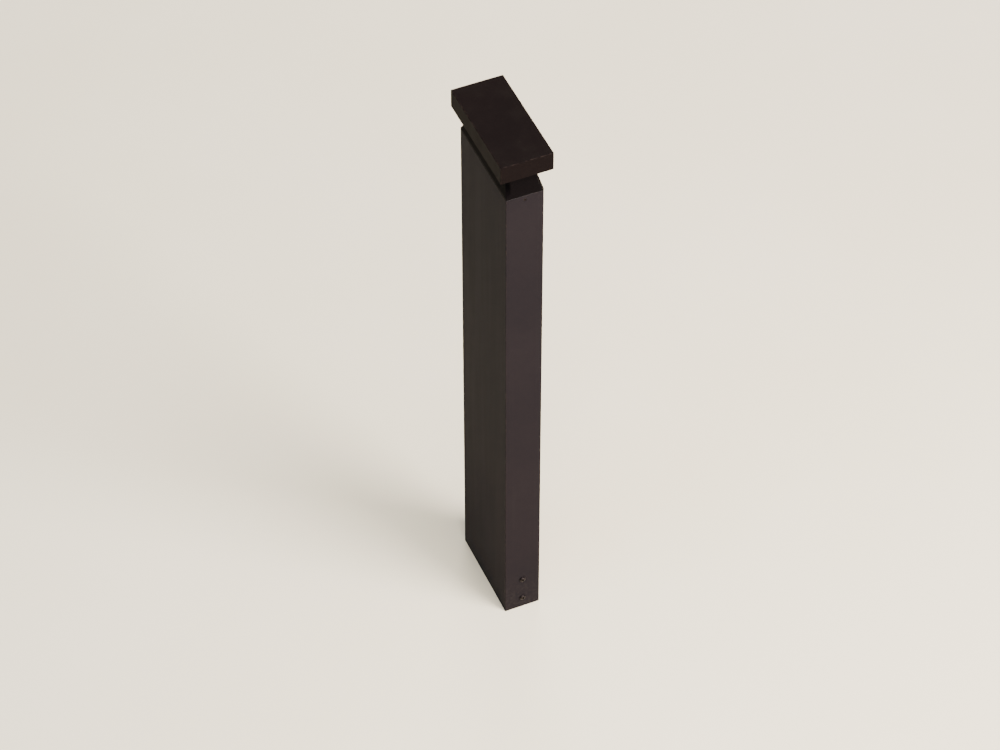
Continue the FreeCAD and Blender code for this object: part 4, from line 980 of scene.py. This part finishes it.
# %% [markdown]
# ## The studio
#
# A pale floor and large soft lamps show a dark object best. The two strongest stand in front, one to the
# right and one overhead, a third lights the back, and a weak cool one stands on the left, so the long left
# face turns greyer than the rest. Small bright lamps would give hard glints that hide the grain.

# %% Floor
FLOOR_HALF, FLOOR_LEVEL = 60.0, -0.0004


def add_floor():
    """One square 0.4 mm under z = 0, so that it never meets the base's underside, with a faint cloud."""
    data = bpy.data.meshes.new("studio_floor")
    signs = ((-1, -1), (1, -1), (1, 1), (-1, 1))
    corners = [(x * FLOOR_HALF, y * FLOOR_HALF, FLOOR_LEVEL) for x, y in signs]
    data.from_pydata(corners, [], [(0, 1, 2, 3)])
    floor = bpy.data.objects.new("studio_floor", data)
    bpy.context.scene.collection.objects.link(floor)
    material, tree, shader, place = start_finish("pale_floor")
    cloud = remap(tree, noise(tree, place, 0.7, detail=4.0), *CLOUDY)
    colour = blend_colour(tree, cloud, (0.87, 0.77, 0.59), (0.89, 0.79, 0.62))
    tree.links.new(colour, shader.inputs["Base Color"])
    tree.links.new(bump(tree, noise(tree, place, 0.004), 0.0001), shader.inputs["Normal"])
    shader.inputs["Roughness"].default_value = 0.85
    data.materials.append(material)
    print("floor", 2 * FLOOR_HALF, "m wide")


add_floor()

# %% Lights and sky
LAMPS = (
    ("key_light", (2.6, -3.6, 2.6), (0, 0, 0.4), 2.6, 680, (1.0, 0.96, 0.92)),
    ("fill_light", (-3.8, -0.6, 2.2), (0, 0, 0.4), 2.6, 75, (0.42, 0.72, 1.0)),
    ("top_light", (0.4, -2.0, 4.4), (0, -0.4, 0.0), 3.0, 450, (1.0, 0.94, 0.84)),
    ("back_light", (1.8, 4.4, 1.5), (0, 0, 0.6), 2.4, 270, (1.0, 0.97, 0.93)),
)


def add_soft_light(name, place, aim, size, watts, colour):
    """A square lamp at place that faces aim."""
    data = bpy.data.lights.new(name, "AREA")
    data.size = size
    data.energy = watts
    data.color = colour
    lamp = bpy.data.objects.new(name, data)
    bpy.context.scene.collection.objects.link(lamp)
    lamp.location = place
    x, y, z = np.array(aim) - np.array(place)
    lamp.rotation_euler = (math.atan2(math.hypot(x, y), -z), 0.0, math.atan2(y, x) - math.pi / 2)
    print(name, watts, "W")


for lamp in LAMPS:
    add_soft_light(*lamp)


def add_sky(zenith=0.22, horizon=0.25):
    """Even light from all round, a little warmer and brighter near the horizon than overhead."""
    sky = bpy.data.worlds.new("studio_sky")
    sky.use_nodes = True
    tree = sky.node_tree
    ray = tree.nodes.new("ShaderNodeTexCoord").outputs["Generated"]
    height = remap(tree, axis_parts(tree, ray)[2], 0.0, 0.7)
    colour = blend_colour(tree, height, (horizon, horizon * 0.96, horizon * 0.88), (zenith, zenith, zenith))
    tree.links.new(colour, tree.nodes["Background"].inputs["Color"])
    bpy.context.scene.world = sky


add_sky()
